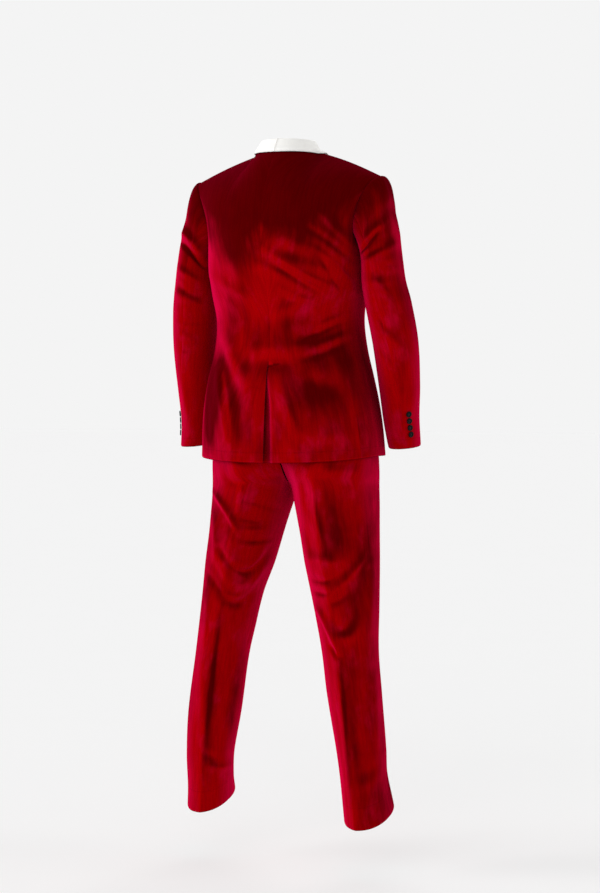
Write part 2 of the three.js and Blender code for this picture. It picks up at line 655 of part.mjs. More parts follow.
for (const [word, side] of [["left", 1], ["right", -1]]) {
  const top = sleeveSurface(word, side, () => FRONT_SEAM_ANGLE - 360, elbow);
  const core = vec(side * 262, -60, -630);
  for (let k = 0; k < SLEEVE_BUTTONS; k++) {
    const drop = 34 + BUTTON_PITCH * (SLEEVE_BUTTONS - 1 - k);
    const v = 1 - (0.7 * drop) / (HEAD_FOOT - CUFF);
    const point = top(BUTTON_COLUMN, v);
    addButton("sleeve_button_" + word + "_" + (k + 1), point, outward(top, BUTTON_COLUMN, v, core), BUTTON_RADIUS);
  }
}

{
  const front = frontSurface(1);
  const v = rowAt(BUTTON_HEIGHT - 12, FRONT_TOP);
  addButton("front_button", front(0.9, v), outward(front, 0.9, v, torsoCore), 10);
}

// ---- Trousers ----

const legTables = { left: [...PELVIS, ...LEFT_LEG], right: [...PELVIS, ...RIGHT_LEG] };

// A point on one leg, by the angle from its outer side; 90 degrees is its back crease.
function legPoint(word, side, degrees, z) {
  const table = legTables[word];
  const c = Math.cos(radians(degrees));
  const s = Math.sin(radians(degrees));
  const pressed = smooth(clamp01((-650 - z) / 90));
  const fold = s > 0 ? foldAngle(word, z, 1) : -foldAngle(word, z, -1);
  const fromFold = Math.abs(Math.sin(radians(degrees - fold)));
  const crease = 1 + 0.045 * pressed * Math.max(0, 1 - fromFold / 0.35) ** 1.5;
  const depth = column(table, s > 0 ? "back" : "front", z);
  const y = column(table, "y", z) + depth * crease * power(s, 2 / LEG_ROUND);
  const slant = HEM_SLANT * smooth(clamp01((-1320 - z) / 172)) * power(s, 1);
  const x = column(table, "x", z) + column(table, "wide", z) * power(c, 2 / LEG_ROUND);
  return vec(side * x - seatDrift(y, z), y, z - slant);
}

function seatDrift(y, z) {
  const low = smooth(clamp01((-540 - z) / 120)) * smooth(clamp01((z + 850) / 120));
  return SEAT_DRIFT * smooth(clamp01((y + 10) / 90)) * low;
}

// How far round the leg its panels run before they meet the other leg or the inside seam.
function innerAngle(word, z) {
  if (z < CROTCH) return 180;
  const table = legTables[word];
  const share = clamp01((column(table, "x", z) - 0.2) / column(table, "wide", z));
  return THREE.MathUtils.radToDeg(Math.acos(-(share ** (LEG_ROUND / 2))));
}

// Where the pressed crease runs: down the middle of the panel, from the seat on the middle of the leg.
function foldAngle(word, z, turn) {
  return Math.min(90 + turn * LEG_TURN[word], 0.62 * innerAngle(word, z));
}

function legSurface(word, side, turn) {
  return (u, v) => {
    const z = lerp(WAIST_SEAM, TROUSER_HEM, v);
    const fold = foldAngle(word, z, turn);
    const degrees = u < 0.5 ? 2 * fold * u : lerp(fold, innerAngle(word, z), 2 * u - 1);
    return legPoint(word, side, turn * degrees, z);
  };
}

const legHeights = [
  -426, -480, -540, -600, -645, -682, -710, -735, -747, -755, -775, -805, -850, -900, -960, -1020, -1085, -1150, -1220,
  -1290, -1350, -1400, -1445, -1472, -1492,
];
const legRows = legHeights.map((z) => (z - WAIST_SEAM) / (TROUSER_HEM - WAIST_SEAM));
const legColumns = [0, 0.15, 0.3, 0.42, 0.5, 0.58, 0.72, 0.86, 1];

// At the centre seams the cloth's thickness stays in the centre plane down to the crotch.
const centreSeam = (u, v) => (lerp(WAIST_SEAM, TROUSER_HEM, v) >= CROTCH - 0.5 ? CENTRE_PLANE : null);

for (const [word, side] of [["left", 1], ["right", -1]]) {
  const legCore = vec(side * 140, 0, -900);
  for (const [piece, turn] of [["back", 1], ["front", -1]]) {
    const surface = legSurface(word, side, turn);
    cloth("trouser_" + piece + "_" + word, velvet, surface, legColumns, legRows, legCore, { last: centreSeam });
  }
  const bandFoot = WAIST_SEAM + SEAM_GAP;
  const band = (u, v) => legPoint(word, side, lerp(-90, 90, u), lerp(WAIST_TOP, bandFoot, v));
  cloth("waistband_" + word, velvet, band, steps(14), steps(1), vec(0, 0, -410), {
    first: CENTRE_PLANE,
    last: CENTRE_PLANE,
  });
}

export default suit;
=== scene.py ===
# A two-piece velvet evening suit in its worn shape, seen from behind its right shoulder. The tables and
# helpers work in millimetres; cloth_panel and sew_button turn them into metres.
import math

import bmesh
import bpy
import numpy as np
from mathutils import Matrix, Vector


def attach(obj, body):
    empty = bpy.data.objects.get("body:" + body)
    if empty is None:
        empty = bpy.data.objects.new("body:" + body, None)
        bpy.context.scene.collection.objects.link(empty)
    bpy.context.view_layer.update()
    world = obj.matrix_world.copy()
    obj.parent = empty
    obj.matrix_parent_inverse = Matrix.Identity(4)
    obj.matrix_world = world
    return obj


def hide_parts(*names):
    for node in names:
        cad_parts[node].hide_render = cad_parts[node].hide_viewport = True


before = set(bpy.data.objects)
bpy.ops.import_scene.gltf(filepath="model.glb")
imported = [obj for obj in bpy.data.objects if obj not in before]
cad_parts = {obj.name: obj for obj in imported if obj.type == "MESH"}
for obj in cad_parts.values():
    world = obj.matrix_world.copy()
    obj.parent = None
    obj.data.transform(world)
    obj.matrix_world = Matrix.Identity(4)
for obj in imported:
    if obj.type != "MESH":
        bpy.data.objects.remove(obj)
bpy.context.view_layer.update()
scene = bpy.context.scene


# ---- The studio ----
# A white paper floor and a pale room, two tall soft boxes at the sides, one behind the camera.
# The lens is a long one, level with the hips, four and a half metres away.
VIEW_ANGLE = math.radians(207)
CAMERA_AWAY = 4.5
CAMERA_HEIGHT = -0.568
SENSOR, LENS = 36, 79.6
CAMERA_SHIFT = (0.0101, -0.0498)
FLOOR = -1.62
ROOM_LIGHT, ROOM_SEEN = 0.42, 0.905  # the walls light the suit less than they look

camera = bpy.data.objects.new("Camera", bpy.data.cameras.new("Camera"))
scene.collection.objects.link(camera)
camera.location = (CAMERA_AWAY * math.sin(VIEW_ANGLE), -CAMERA_AWAY * math.cos(VIEW_ANGLE), CAMERA_HEIGHT)
camera.rotation_euler = (math.pi / 2, 0, VIEW_ANGLE)
camera.data.sensor_width = SENSOR
camera.data.lens = LENS
camera.data.shift_x, camera.data.shift_y = CAMERA_SHIFT
scene.camera = camera


def studio_light(name, angle, rise, strength, soften):
    """A large far soft box: its angle round the suit, counted as the camera's is, and its rise in degrees."""
    data = bpy.data.lights.new(name, "SUN")
    data.energy = strength
    data.angle = math.radians(soften)
    light = bpy.data.objects.new(name, data)
    scene.collection.objects.link(light)
    light.rotation_euler = (math.pi / 2 - math.radians(rise), 0, math.radians(angle))


studio_light("Soft_box_left", 122, 12, 2.2, 35)
studio_light("Soft_box_right", 286, 12, 0.85, 35)
studio_light("Soft_box_camera", 190, 25, 0.6, 50)
studio_light("Soft_box_front", 20, 30, 1.3, 60)

world = bpy.data.worlds.new("Room")
scene.world = world
world.use_nodes = True
room = world.node_tree.nodes["Background"]
seen = world.node_tree.nodes.new("ShaderNodeLightPath")
strength = world.node_tree.nodes.new("ShaderNodeMapRange")
strength.inputs["To Min"].default_value = ROOM_LIGHT
strength.inputs["To Max"].default_value = ROOM_SEEN
world.node_tree.links.new(seen.outputs["Is Camera Ray"], strength.inputs["Value"])
world.node_tree.links.new(strength.outputs["Result"], room.inputs["Strength"])
room.inputs["Color"].default_value = (1, 1, 1, 1)
scene.view_settings.view_transform = "Standard"


class Value:
    """A value or colour in a material's nodes; sums, differences and products of it add Math nodes."""

    def __init__(self, graph, socket):
        self.graph = graph
        self.socket = socket

    def __add__(self, other):
        return self.graph.math("ADD", self, other)

    def __sub__(self, other):
        return self.graph.math("SUBTRACT", self, other)

    def __rsub__(self, other):
        return self.graph.math("SUBTRACT", other, self)

    def __mul__(self, other):
        return self.graph.math("MULTIPLY", self, other)

    __radd__ = __add__
    __rmul__ = __mul__


class Graph:
    """A new material and the nodes in it."""

    def __init__(self, name):
        self.material = bpy.data.materials.new(name)
        self.material.use_nodes = True
        self.tree = self.material.node_tree
        self.tree.nodes.clear()

    def node(self, kind, settings=None, sockets=None, out=0):
        node = self.tree.nodes.new(kind)
        for key, value in (settings or {}).items():
            setattr(node, key, value)
        for key, value in (sockets or {}).items():
            if isinstance(value, Value):
                self.tree.links.new(value.socket, node.inputs[key])
            else:
                node.inputs[key].default_value = value
        return Value(self, node.outputs[out] if node.outputs else None)

    def math(self, operation, a, b):
        return self.node("ShaderNodeMath", {"operation": operation}, {0: a, 1: b})

    def mix(self, factor, a, b):
        a, b = [c if isinstance(c, Value) else (*c, 1) for c in (a, b)]
        return self.node("ShaderNodeMix", {"data_type": "RGBA"}, {0: factor, 6: a, 7: b}, out=2)

    def ramp(self, value, low, high):
        """The value as 0 below low and 1 above high, eased between."""
        return self.node(
            "ShaderNodeMapRange",
            {"interpolation_type": "SMOOTHSTEP"},
            {"Value": value, "From Min": low, "From Max": high},
        )

    def noise(self, place, scale, detail=3, roughness=0.55):
        sockets = {"Vector": place, "Scale": scale, "Detail": detail, "Roughness": roughness}
        return self.node("ShaderNodeTexNoise", {}, sockets)

    def times(self, a, b):
        """A vector or colour times another, each channel by its own."""
        return self.node("ShaderNodeVectorMath", {"operation": "MULTIPLY"}, {0: a, 1: b})

    def stretched(self, place, x, y):
        return self.times(place, (x, y, 1))

    def uv(self):
        return self.node("ShaderNodeTexCoord", out=2)

    def place(self):
        return self.node("ShaderNodeTexCoord", out=3)

    def bump(self, strength, distance, height):
        return self.node("ShaderNodeBump", {}, {"Strength": strength, "Distance": distance, "Height": height})

    def finish(self, **sockets):
        named = {key.replace("_", " "): value for key, value in sockets.items()}
        shader = self.node("ShaderNodeBsdfPrincipled", {}, named)
        self.node("ShaderNodeOutputMaterial", {}, {"Surface": shader})
        return self.material


def add_piece(name, shape, materials):
    """A new object with the shape of a bmesh, which is used up."""
    mesh = bpy.data.meshes.new(name)
    shape.to_mesh(mesh)
    shape.free()
    for material in materials:
        mesh.materials.append(material)
    piece = bpy.data.objects.new(name, mesh)
    scene.collection.objects.link(piece)
    return piece


paper = Graph("White paper")
fleck = paper.noise(paper.place(), 3)
paper_white = paper.finish(
    Base_Color=paper.mix(fleck, (0.60, 0.60, 0.60), (0.61, 0.61, 0.61)),
    Roughness=1.0,
    Specular_IOR_Level=0.0,
    Emission_Color=(1, 1, 1, 1),
    Emission_Strength=0.35,
)
shape = bmesh.new()
bmesh.ops.create_grid(shape, x_segments=2, y_segments=2, size=60)
bmesh.ops.translate(shape, verts=shape.verts, vec=(0, 0, FLOOR))
add_piece("Floor", shape, [paper_white])


# ---- The jacket's body: two backs, two underarm panels and two fronts ----
# Cotton velvet on a canvas, cut in six panels and pressed open at the seams. The backs join down the middle
# and part into a vent, whose left edge laps over the right. The cloth drags towards the right armhole.
CLOTH = 2  # velvet with its canvas
JACKET_HEM = -695
BUTTON_HEIGHT = -392
VENT_TOP = -483
VENT_UNDERLAP = 36
FRONT_OVERLAP = 18
ROLL_TOP, ROLL_BOW = 44, 7  # the roll line runs up to here at the front's top, bowed by so much
FRONT_LAP = 11  # the left front stands off by both collars and the right front
BACK_TOP = -180  # below this the body is one ring
FRONT_TOP = -190
YOKE_SHARE = 0.34  # share of a panel's length that lies above the armhole's foot
NECK_SHARE = 0.36  # share of the back's top edge that is neckline
TORSO_ROUND = 2.25
UNDERARM_BACK, UNDERARM_FRONT = 75, 115  # the underarm panel's edges under the arm, in degrees
HEM_DIP_BACK, HEM_DIP_SIDE = 9, -6.5  # the hem hangs lower at the back than at the sides
SHOULDER_TILT, SHOULDERS_DOWN = 0.018, 6  # how steeply they fall to the right, and how far both sit down
CENTRE_DRIFT = 9  # the back seam runs this far to the wearer's right, as the body is turned


def table(names, *rows):
    """A short table by the names of its columns."""
    return dict(zip(names.split(), np.array(rows, float).T))


# Sections of the body, from the armhole down
TORSO = table(
    "z wide mid back front",
    (-180, 187, 15, 150, -112),
    (-255, 187, 14, 148, -114),
    (-320, 183, 8, 137, -113),
    (-385, 175, 2, 122, -113),
    (-450, 181, -2, 122, -121),
    (-510, 194, -4, 131, -133),
    (-570, 206, -6, 135, -142),
    (-630, 214, -8, 134, -148),
    (-695, 219, -10, 131, -152),
)
# Where the seams run round the body, in degrees from the centre back
BODY_SEAMS = table(
    "z back front", (-180, UNDERARM_BACK, UNDERARM_FRONT), (-300, 68, 112), (-390, 62, 110), (-695, 66, 112)
)
# How far each front's edge falls short of the centre
FRONT_EDGE = table(
    "z x", (-392, -18), (-460, -16), (-530, -9), (-590, 3), (-640, 20), (-670, 38), (-685, 56), (-695, 82)
)

# The largest folds of the back, as the solids have them: ridges across the back, the wearer's left positive
BROAD_FOLDS = table(
    "from_x from_z to_x to_z width height",
    (-10, -222, -172, -292, 15, 5),
    (10, -262, -176, -322, 13, 4),
    (-20, -372, -150, -330, 14, 4),
    (40, -335, 165, -275, 15, 4),
    (128, -470, 108, -690, 22, 7),
    (-26, -490, -66, -690, 22, 5),
    (-150, -470, -168, -690, 24, 5),
    (178, -440, 186, -690, 20, 4),
)


def cubic(start, leave, end, arrive, t):
    """A cubic from one value to another, leaving and arriving at the given slopes."""
    return (
        (2 * t**3 - 3 * t**2 + 1) * start
        + (t**3 - 2 * t**2 + t) * leave
        + (3 * t**2 - 2 * t**3) * end
        + (t**3 - t**2) * arrive
    )


def column(rows, name, at, by="z"):
    """One column of a table as a smooth curve through its rows."""
    x, y = rows[by], rows[name]
    if x[0] > x[-1]:
        x, y = x[::-1], y[::-1]
    before = np.maximum(np.arange(len(x)) - 1, 0)
    after = np.minimum(np.arange(len(x)) + 1, len(x) - 1)
    slope = (y[after] - y[before]) / (x[after] - x[before])
    at = np.clip(at, x[0], x[-1])
    i = np.clip(np.searchsorted(x, at, side="right") - 1, 0, len(x) - 2)
    span = x[i + 1] - x[i]
    t = (at - x[i]) / span
    return cubic(y[i], span * slope[i], y[i + 1], span * slope[i + 1], t)


def clamp(t):
    return np.clip(t, 0, 1)


def smooth(t):
    t = clamp(t)
    return t * t * (3 - 2 * t)


def below(z, start, over):
    """0 above a start, and eased to 1 by so much below it."""
    return smooth((start - z) / over)


def mix(a, b, t):
    return a + (b - a) * t


def cos_sin(degrees):
    return np.cos(np.radians(degrees)), np.sin(np.radians(degrees))


def power(value, exponent):
    return np.sign(value) * np.abs(value) ** exponent


def point(x, y, z):
    return np.stack(np.broadcast_arrays(x, y, z), axis=-1).astype(float)


def hermite(start, leave, end, arrive, t):
    """A cubic from one point to another, leaving and arriving along the given vectors."""
    return cubic(start, leave, end, arrive, np.asarray(t)[..., None])


def patch(bottom, top, first, last):
    """A four-sided patch of cloth between its bottom, top and two side curves."""

    def surface(u, w):
        k = (smooth(w) ** 2.2)[..., None]
        across = u[..., None]
        corners = [mix(bottom(np.full_like(u, at)), top(np.full_like(u, at)), k) for at in (0.0, 1.0)]
        sides = mix(first(w) - corners[0], last(w) - corners[1], across)
        return mix(bottom(u), top(u), k) + sides

    return surface


def unit(v):
    return v / np.maximum(np.linalg.norm(v, axis=-1, keepdims=True), 1e-9)


def torso(side, degrees, z):
    """The jacket's body by the angle from the centre back and the height."""
    c, s = cos_sin(degrees)
    mid = column(TORSO, "mid", z)
    depth = np.where(c > 0, column(TORSO, "back", z) - mid, mid - column(TORSO, "front", z))
    x = column(TORSO, "wide", z) * power(s, 2 / TORSO_ROUND)
    y = depth * power(c, 2 / TORSO_ROUND)
    lift = broad_lift(side * x, z) * smooth((c + 0.25) / 0.35) * below(z, -190, 40)
    out = np.hypot(x, y)
    dip = mix(HEM_DIP_SIDE, HEM_DIP_BACK, np.maximum(0, c) ** 1.3) * below(z, -500, 195)
    return point(side * x * (1 + lift / out), mid + y * (1 + lift / out), z - dip)


def settle(place):
    """The right shoulder is held lower than the left."""
    drop = (SHOULDER_TILT * place[..., 0] - SHOULDERS_DOWN) * smooth((place[..., 2] + 350) / 220)
    return place + point(0, 0, drop)


def broad_lift(x, z):
    lift = 0
    for from_x, from_z, to_x, to_z, width, height in zip(*BROAD_FOLDS.values()):
        dx, dz = to_x - from_x, to_z - from_z
        along = clamp(((x - from_x) * dx + (z - from_z) * dz) / (dx * dx + dz * dz))
        off = np.hypot(x - from_x - along * dx, z - from_z - along * dz)
        lift = lift + height * np.sin(np.pi * (0.12 + 0.76 * along)) * np.exp(-((off / width) ** 2))
    return lift


def torso_angle(x, z, front):
    """The angle at which the body's section stands x from the centre plane."""
    share = np.clip(x / column(TORSO, "wide", z), -1, 1)
    angle = np.degrees(np.arcsin(power(share, TORSO_ROUND / 2)))
    return 180 - angle if front else angle


TIP = point(228, 2, -56)  # of the shoulder
NECK = point(74, 5, 4)
BACK_NECK = point(0, 74, 5)


def back_armhole(w):
    return hermite(torso(1, UNDERARM_BACK, BACK_TOP), point(10, 40, 190), TIP, point(0, -180, 0), w)


def front_armhole(w):
    return hermite(torso(1, UNDERARM_FRONT, FRONT_TOP), point(-20, -100, 180), TIP, point(0, 180, 0), w)


def shoulder_seam(t):
    return mix(NECK, TIP, np.asarray(t)[..., None]) + point(0, 0, 5 * np.sin(np.pi * t))


def back_neckline(t):
    turn = t * np.pi / 2
    return point(NECK[0] * np.sin(turn), mix(NECK[1], BACK_NECK[1], np.cos(turn)), BACK_NECK[2] - t * t)


def back_top_edge(u):
    neckline = back_neckline(clamp(u / NECK_SHARE))
    shoulder = shoulder_seam(clamp((u - NECK_SHARE) / (1 - NECK_SHARE)))
    return np.where((u < NECK_SHARE)[..., None], neckline, shoulder)


back_yoke = patch(
    lambda u: torso(1, UNDERARM_BACK * u, BACK_TOP),
    back_top_edge,
    lambda w: hermite(torso(1, 0, BACK_TOP), point(0, 8, 190), BACK_NECK, point(0, -110, 110), w),
    back_armhole,
)


VENT_LIFT, VENT_GAPE = 2.4, 12  # how far its left edge stands off, and swings aside at the hem


def vent_sink(x, z):
    """The left back lifts a little over the vent, and the right back sinks under it, more towards the hem."""
    gape = below(z, VENT_TOP, 110)
    mouth = (0.6 + 9.4 * gape) * below(x, 1 + VENT_GAPE * gape, 4 + VENT_GAPE * gape)
    return mouth + 3 * below(x, -2, 10)


def back_surface(side):
    def surface(u, v):
        yoke = back_yoke(u, clamp(1 - v / YOKE_SHARE)) * (side, 1, 1)
        z = mix(BACK_TOP, JACKET_HEM, clamp((v - YOKE_SHARE) / (1 - YOKE_SHARE)))
        vent = below(z, VENT_TOP + 8, 10)
        open_by = clamp((VENT_TOP - z) / (VENT_TOP - JACKET_HEM))
        reach = VENT_UNDERLAP * below(z, VENT_TOP - 1, 8)
        drift = CENTRE_DRIFT * below(z, BACK_TOP, 150)
        first = torso_angle(VENT_GAPE * open_by - drift if side > 0 else drift - reach, z, False)
        body = torso(side, mix(first, column(BODY_SEAMS, "back", z), u), z)
        x = (body[..., 0] + drift) * side
        lift = VENT_LIFT * np.exp(-((x / 30) ** 2)) * below(z, VENT_TOP + 26, 32)
        body[..., 1] += lift if side > 0 else mix(lift, -vent_sink(x, z), vent)
        return settle(np.where((v < YOKE_SHARE)[..., None], yoke, body))

    return surface


def front_edge(z):
    """Where the front's edge runs: the roll line above the button, the rounded quarter below it."""
    t = clamp((z - BUTTON_HEIGHT) / (FRONT_TOP - BUTTON_HEIGHT))
    roll = mix(-FRONT_OVERLAP, ROLL_TOP, t) + ROLL_BOW * np.sin(np.pi * 0.5 * t) * (1 - t)
    return np.where(z < BUTTON_HEIGHT, column(FRONT_EDGE, "x", z), roll)


def front_lower(side, u, z):
    last = torso_angle(front_edge(z), z, True)
    place = torso(side, mix(column(BODY_SEAMS, "front", z), last, u), z)
    if side > 0:
        place[..., 1] -= FRONT_LAP * below(place[..., 0], 75, 50) * below(z, -270, 60)
    return place


front_yoke = patch(
    lambda u: front_lower(-1, u, np.full_like(u, FRONT_TOP)) * (-1, 1, 1),
    lambda u: shoulder_seam(1 - u),
    front_armhole,
    lambda w: hermite(
        front_lower(-1, np.ones(1), np.full(1, FRONT_TOP))[0] * (-1, 1, 1),
        point(14, 12, 170),
        NECK,
        point(30, 150, 90),
        w,
    ),
)


def front_surface(side):
    def surface(u, v):
        yoke = front_yoke(u, clamp(1 - v / YOKE_SHARE)) * (side, 1, 1)
        z = mix(FRONT_TOP, JACKET_HEM, clamp((v - YOKE_SHARE) / (1 - YOKE_SHARE)))
        return settle(np.where((v < YOKE_SHARE)[..., None], yoke, front_lower(side, u, z)))

    return surface


ARMHOLE_FOOT = -226  # the armhole dips to here under the arm


def side_top(share):
    """How high an underarm panel reaches, from its back edge at 0 to its front edge at 1."""
    return mix(mix(BACK_TOP, FRONT_TOP, share), ARMHOLE_FOOT, np.sin(np.pi * share) ** 0.8)


def side_surface(side):
    def surface(u, v):
        z = mix(side_top(clamp(u)), JACKET_HEM, v)
        return settle(torso(side, mix(column(BODY_SEAMS, "back", z), column(BODY_SEAMS, "front", z), u), z))

    return surface


# Creases are laid out on two upright planes, one square to the camera and one behind it: across to the
# wearer's right and up. A crease runs from one place by another to a third, and leans to one side.
ALONG = np.array([math.cos(VIEW_ANGLE), math.sin(VIEW_ANGLE)])
TOWARDS = {"back": 1, "front": -1}
CREASE_RISE = 6  # a crease's light and dark fall under its line
CREASE_STEPS = 16


def folds(*rows):
    """A table of creases; a row that states no lean has none."""
    names = "from_h from_z by_h by_z to_h to_z width height lean"
    return table(names, *[(*row, 0)[:9] for row in rows])


def crease_lift(place, over, creases, seen):
    """How far the creases of one plane lift each point of a panel."""
    h = place[..., :2] @ ALONG
    z = place[..., 2] - CREASE_RISE
    facing = TOWARDS[seen] * (over[..., 0] * ALONG[1] - over[..., 1] * ALONG[0])
    steps = np.linspace(0, 1, CREASE_STEPS + 1)
    lift = np.zeros_like(h)
    for from_h, from_z, by_h, by_z, to_h, to_z, width, height, lean in zip(*creases.values()):
        best = np.full_like(h, 1e9)
        side = np.zeros_like(h)
        share = np.zeros_like(h)
        path_h = (1 - steps) ** 2 * from_h + 2 * steps * (1 - steps) * by_h + steps**2 * to_h
        path_z = (1 - steps) ** 2 * from_z + 2 * steps * (1 - steps) * by_z + steps**2 * to_z
        for k in range(CREASE_STEPS):
            dh, dz = path_h[k + 1] - path_h[k], path_z[k + 1] - path_z[k]
            t = clamp(((h - path_h[k]) * dh + (z - path_z[k]) * dz) / (dh * dh + dz * dz))
            off_h, off_z = h - path_h[k] - t * dh, z - path_z[k] - t * dz
            off = np.hypot(off_h, off_z)
            near = off < best
            best = np.where(near, off, best)
            side = np.where(near, np.sign(dh * off_z - dz * off_h), side)
            share = np.where(near, (k + t) / CREASE_STEPS, share)
        taper = np.sin(np.pi * (0.06 + 0.88 * share)) ** 0.8
        lift += height * taper * np.exp(-((best / (width * (1 + lean * side))) ** 2))
    return lift * smooth((facing + 0.1) / 0.5)


def spread(count):
    """Steps from 0 to 1, closer at both ends."""
    t = np.linspace(0, 1, count + 1)
    return 0.5 * t + 0.5 * (0.5 - 0.5 * np.cos(np.pi * t))


# An edge's finish: how deep the cloth dips at it, how far in the dip reaches, how far the last bit turns in
SEAM = (0.7, 2.4, 0.6)
PRESSED = (0.2, 1.6, 0.1)
EDGE = (0.9, 1.4, 0.0)
SET_IN = (0.35, 2.4, 0.0)
SEAM_REACH = 0.13  # how far each side of a seam runs into its gap, so that no light comes through
EASING = 90  # rounds of smoothing where a panel's upper and lower shapes meet
EASE_REACH, EASE_SIDES = 0.06, 0.12  # how far it reaches up and down, and in from the sides, as shares
SHELL = 0.8 * CLOTH  # drawn a little thinner than it is, so that neighbours stay clear of each other


def cloth_panel(
    node, surface, across, along, core, edges, finish, creases, grain=0.5, meet=None,
    shading_strokes=None,
):
    """One piece of cloth: a fine grid on the panel's surface, with its creases and pressed edges. core is a
    place inside the suit, edges the finish of its first, last, top and bottom edge, grain how far across it
    the line lies that the velvet's streaks run along, and meet the share of its length where its two shapes
    are eased."""
    u, v = np.meshgrid(spread(across), spread(along))
    place = surface(u, v)
    if meet:
        near = np.exp(-(((v - meet) / EASE_REACH) ** 2))
        near = near * smooth(u / EASE_SIDES) * smooth((1 - u) / EASE_SIDES)
        for _ in range(EASING):
            place[1:-1] += 0.5 * near[1:-1, :, None] * (0.5 * (place[:-2] + place[2:]) - place[1:-1])
    over = unit(np.cross(np.gradient(place, axis=1), np.gradient(place, axis=0)))
    middle = (len(v) // 2, across // 2)
    inside_out = np.dot(over[middle], place[middle] - core) < 0
    if inside_out:
        over = -over
    lift = sum((crease_lift(place, over, rows, seen) for seen, rows in creases), np.zeros_like(u))
    # Painted shade, and painted highlight below nought, kept on the points for the velvet's colour
    shade_variation = crease_lift(place, over, shading_strokes, "back") if shading_strokes else np.zeros_like(u)
    step_across = np.linalg.norm(np.diff(place, axis=1), axis=-1)
    step_down = np.linalg.norm(np.diff(place, axis=0), axis=-1)
    from_first = np.pad(np.cumsum(step_across, axis=1), ((0, 0), (1, 0)))
    from_top = np.pad(np.cumsum(step_down, axis=0), ((1, 0), (0, 0)))
    from_last = from_first[:, -1:] - from_first
    from_bottom = from_top[-1:] - from_top
    for far, (depth, reach, tuck) in zip((from_first, from_last, from_top, from_bottom), edges):
        lift -= depth * np.exp(-((far / reach) ** 2)) + tuck * (far == 0)
    place = place + lift[..., None] * over
    for end, inner in ((0, 1), (-1, -2)):
        step = place[:, end] - place[:, inner]
        run = np.maximum(np.linalg.norm(step, axis=-1, keepdims=True), SEAM_REACH)
        place[:, end] += SEAM_REACH * step / run

    grid = bmesh.new()
    bmesh.ops.create_grid(grid, x_segments=across, y_segments=along, size=1)
    for edge in grid.edges:
        edge.smooth = not edge.is_boundary
    piece = add_piece(node.capitalize(), grid, finish)
    mesh = piece.data
    mesh.vertices.foreach_set("co", (place / 1000).ravel())
    if inside_out:
        mesh.flip_normals()
    corners = np.zeros(len(mesh.loops), int)
    mesh.loops.foreach_get("vertex_index", corners)
    from_grain = from_first - from_first[:, round(grain * across)][:, None]
    flat = np.stack([from_grain, from_bottom], axis=-1).reshape(-1, 2) / 1000
    mesh.uv_layers.new(name="Cloth").data.foreach_set("uv", flat[corners].ravel())
    mesh.attributes.new("Painted_shading", "FLOAT", "POINT").data.foreach_set("value", shade_variation.ravel())
    mesh.polygons.foreach_set("use_smooth", [True] * len(mesh.polygons))
    mesh.update()
    shell = piece.modifiers.new("Thickness", "SOLIDIFY")
    shell.thickness = SHELL / 1000
    shell.offset = -1
    shell.material_offset = 1
    shell.material_offset_rim = 1
    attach(piece, "root")
    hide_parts(node)


# Velvet reds: lit, in painted shade, painted highlight in patches, painted sheen where the cloth turns away
VELVET_SHADED, VELVET_LIT = (0.08, 0.0, 0.0003), (0.31, 0.0, 0.001)
PAINTED_HIGHLIGHT, PAINTED_SHEEN_RED = (0.42, 0.0008, 0.024), (0.52, 0.0015, 0.042)
HEM_TURN, TURN_UP = 0.023, 0.05  # how far above the edge the hem's stitches catch the cloth, in metres


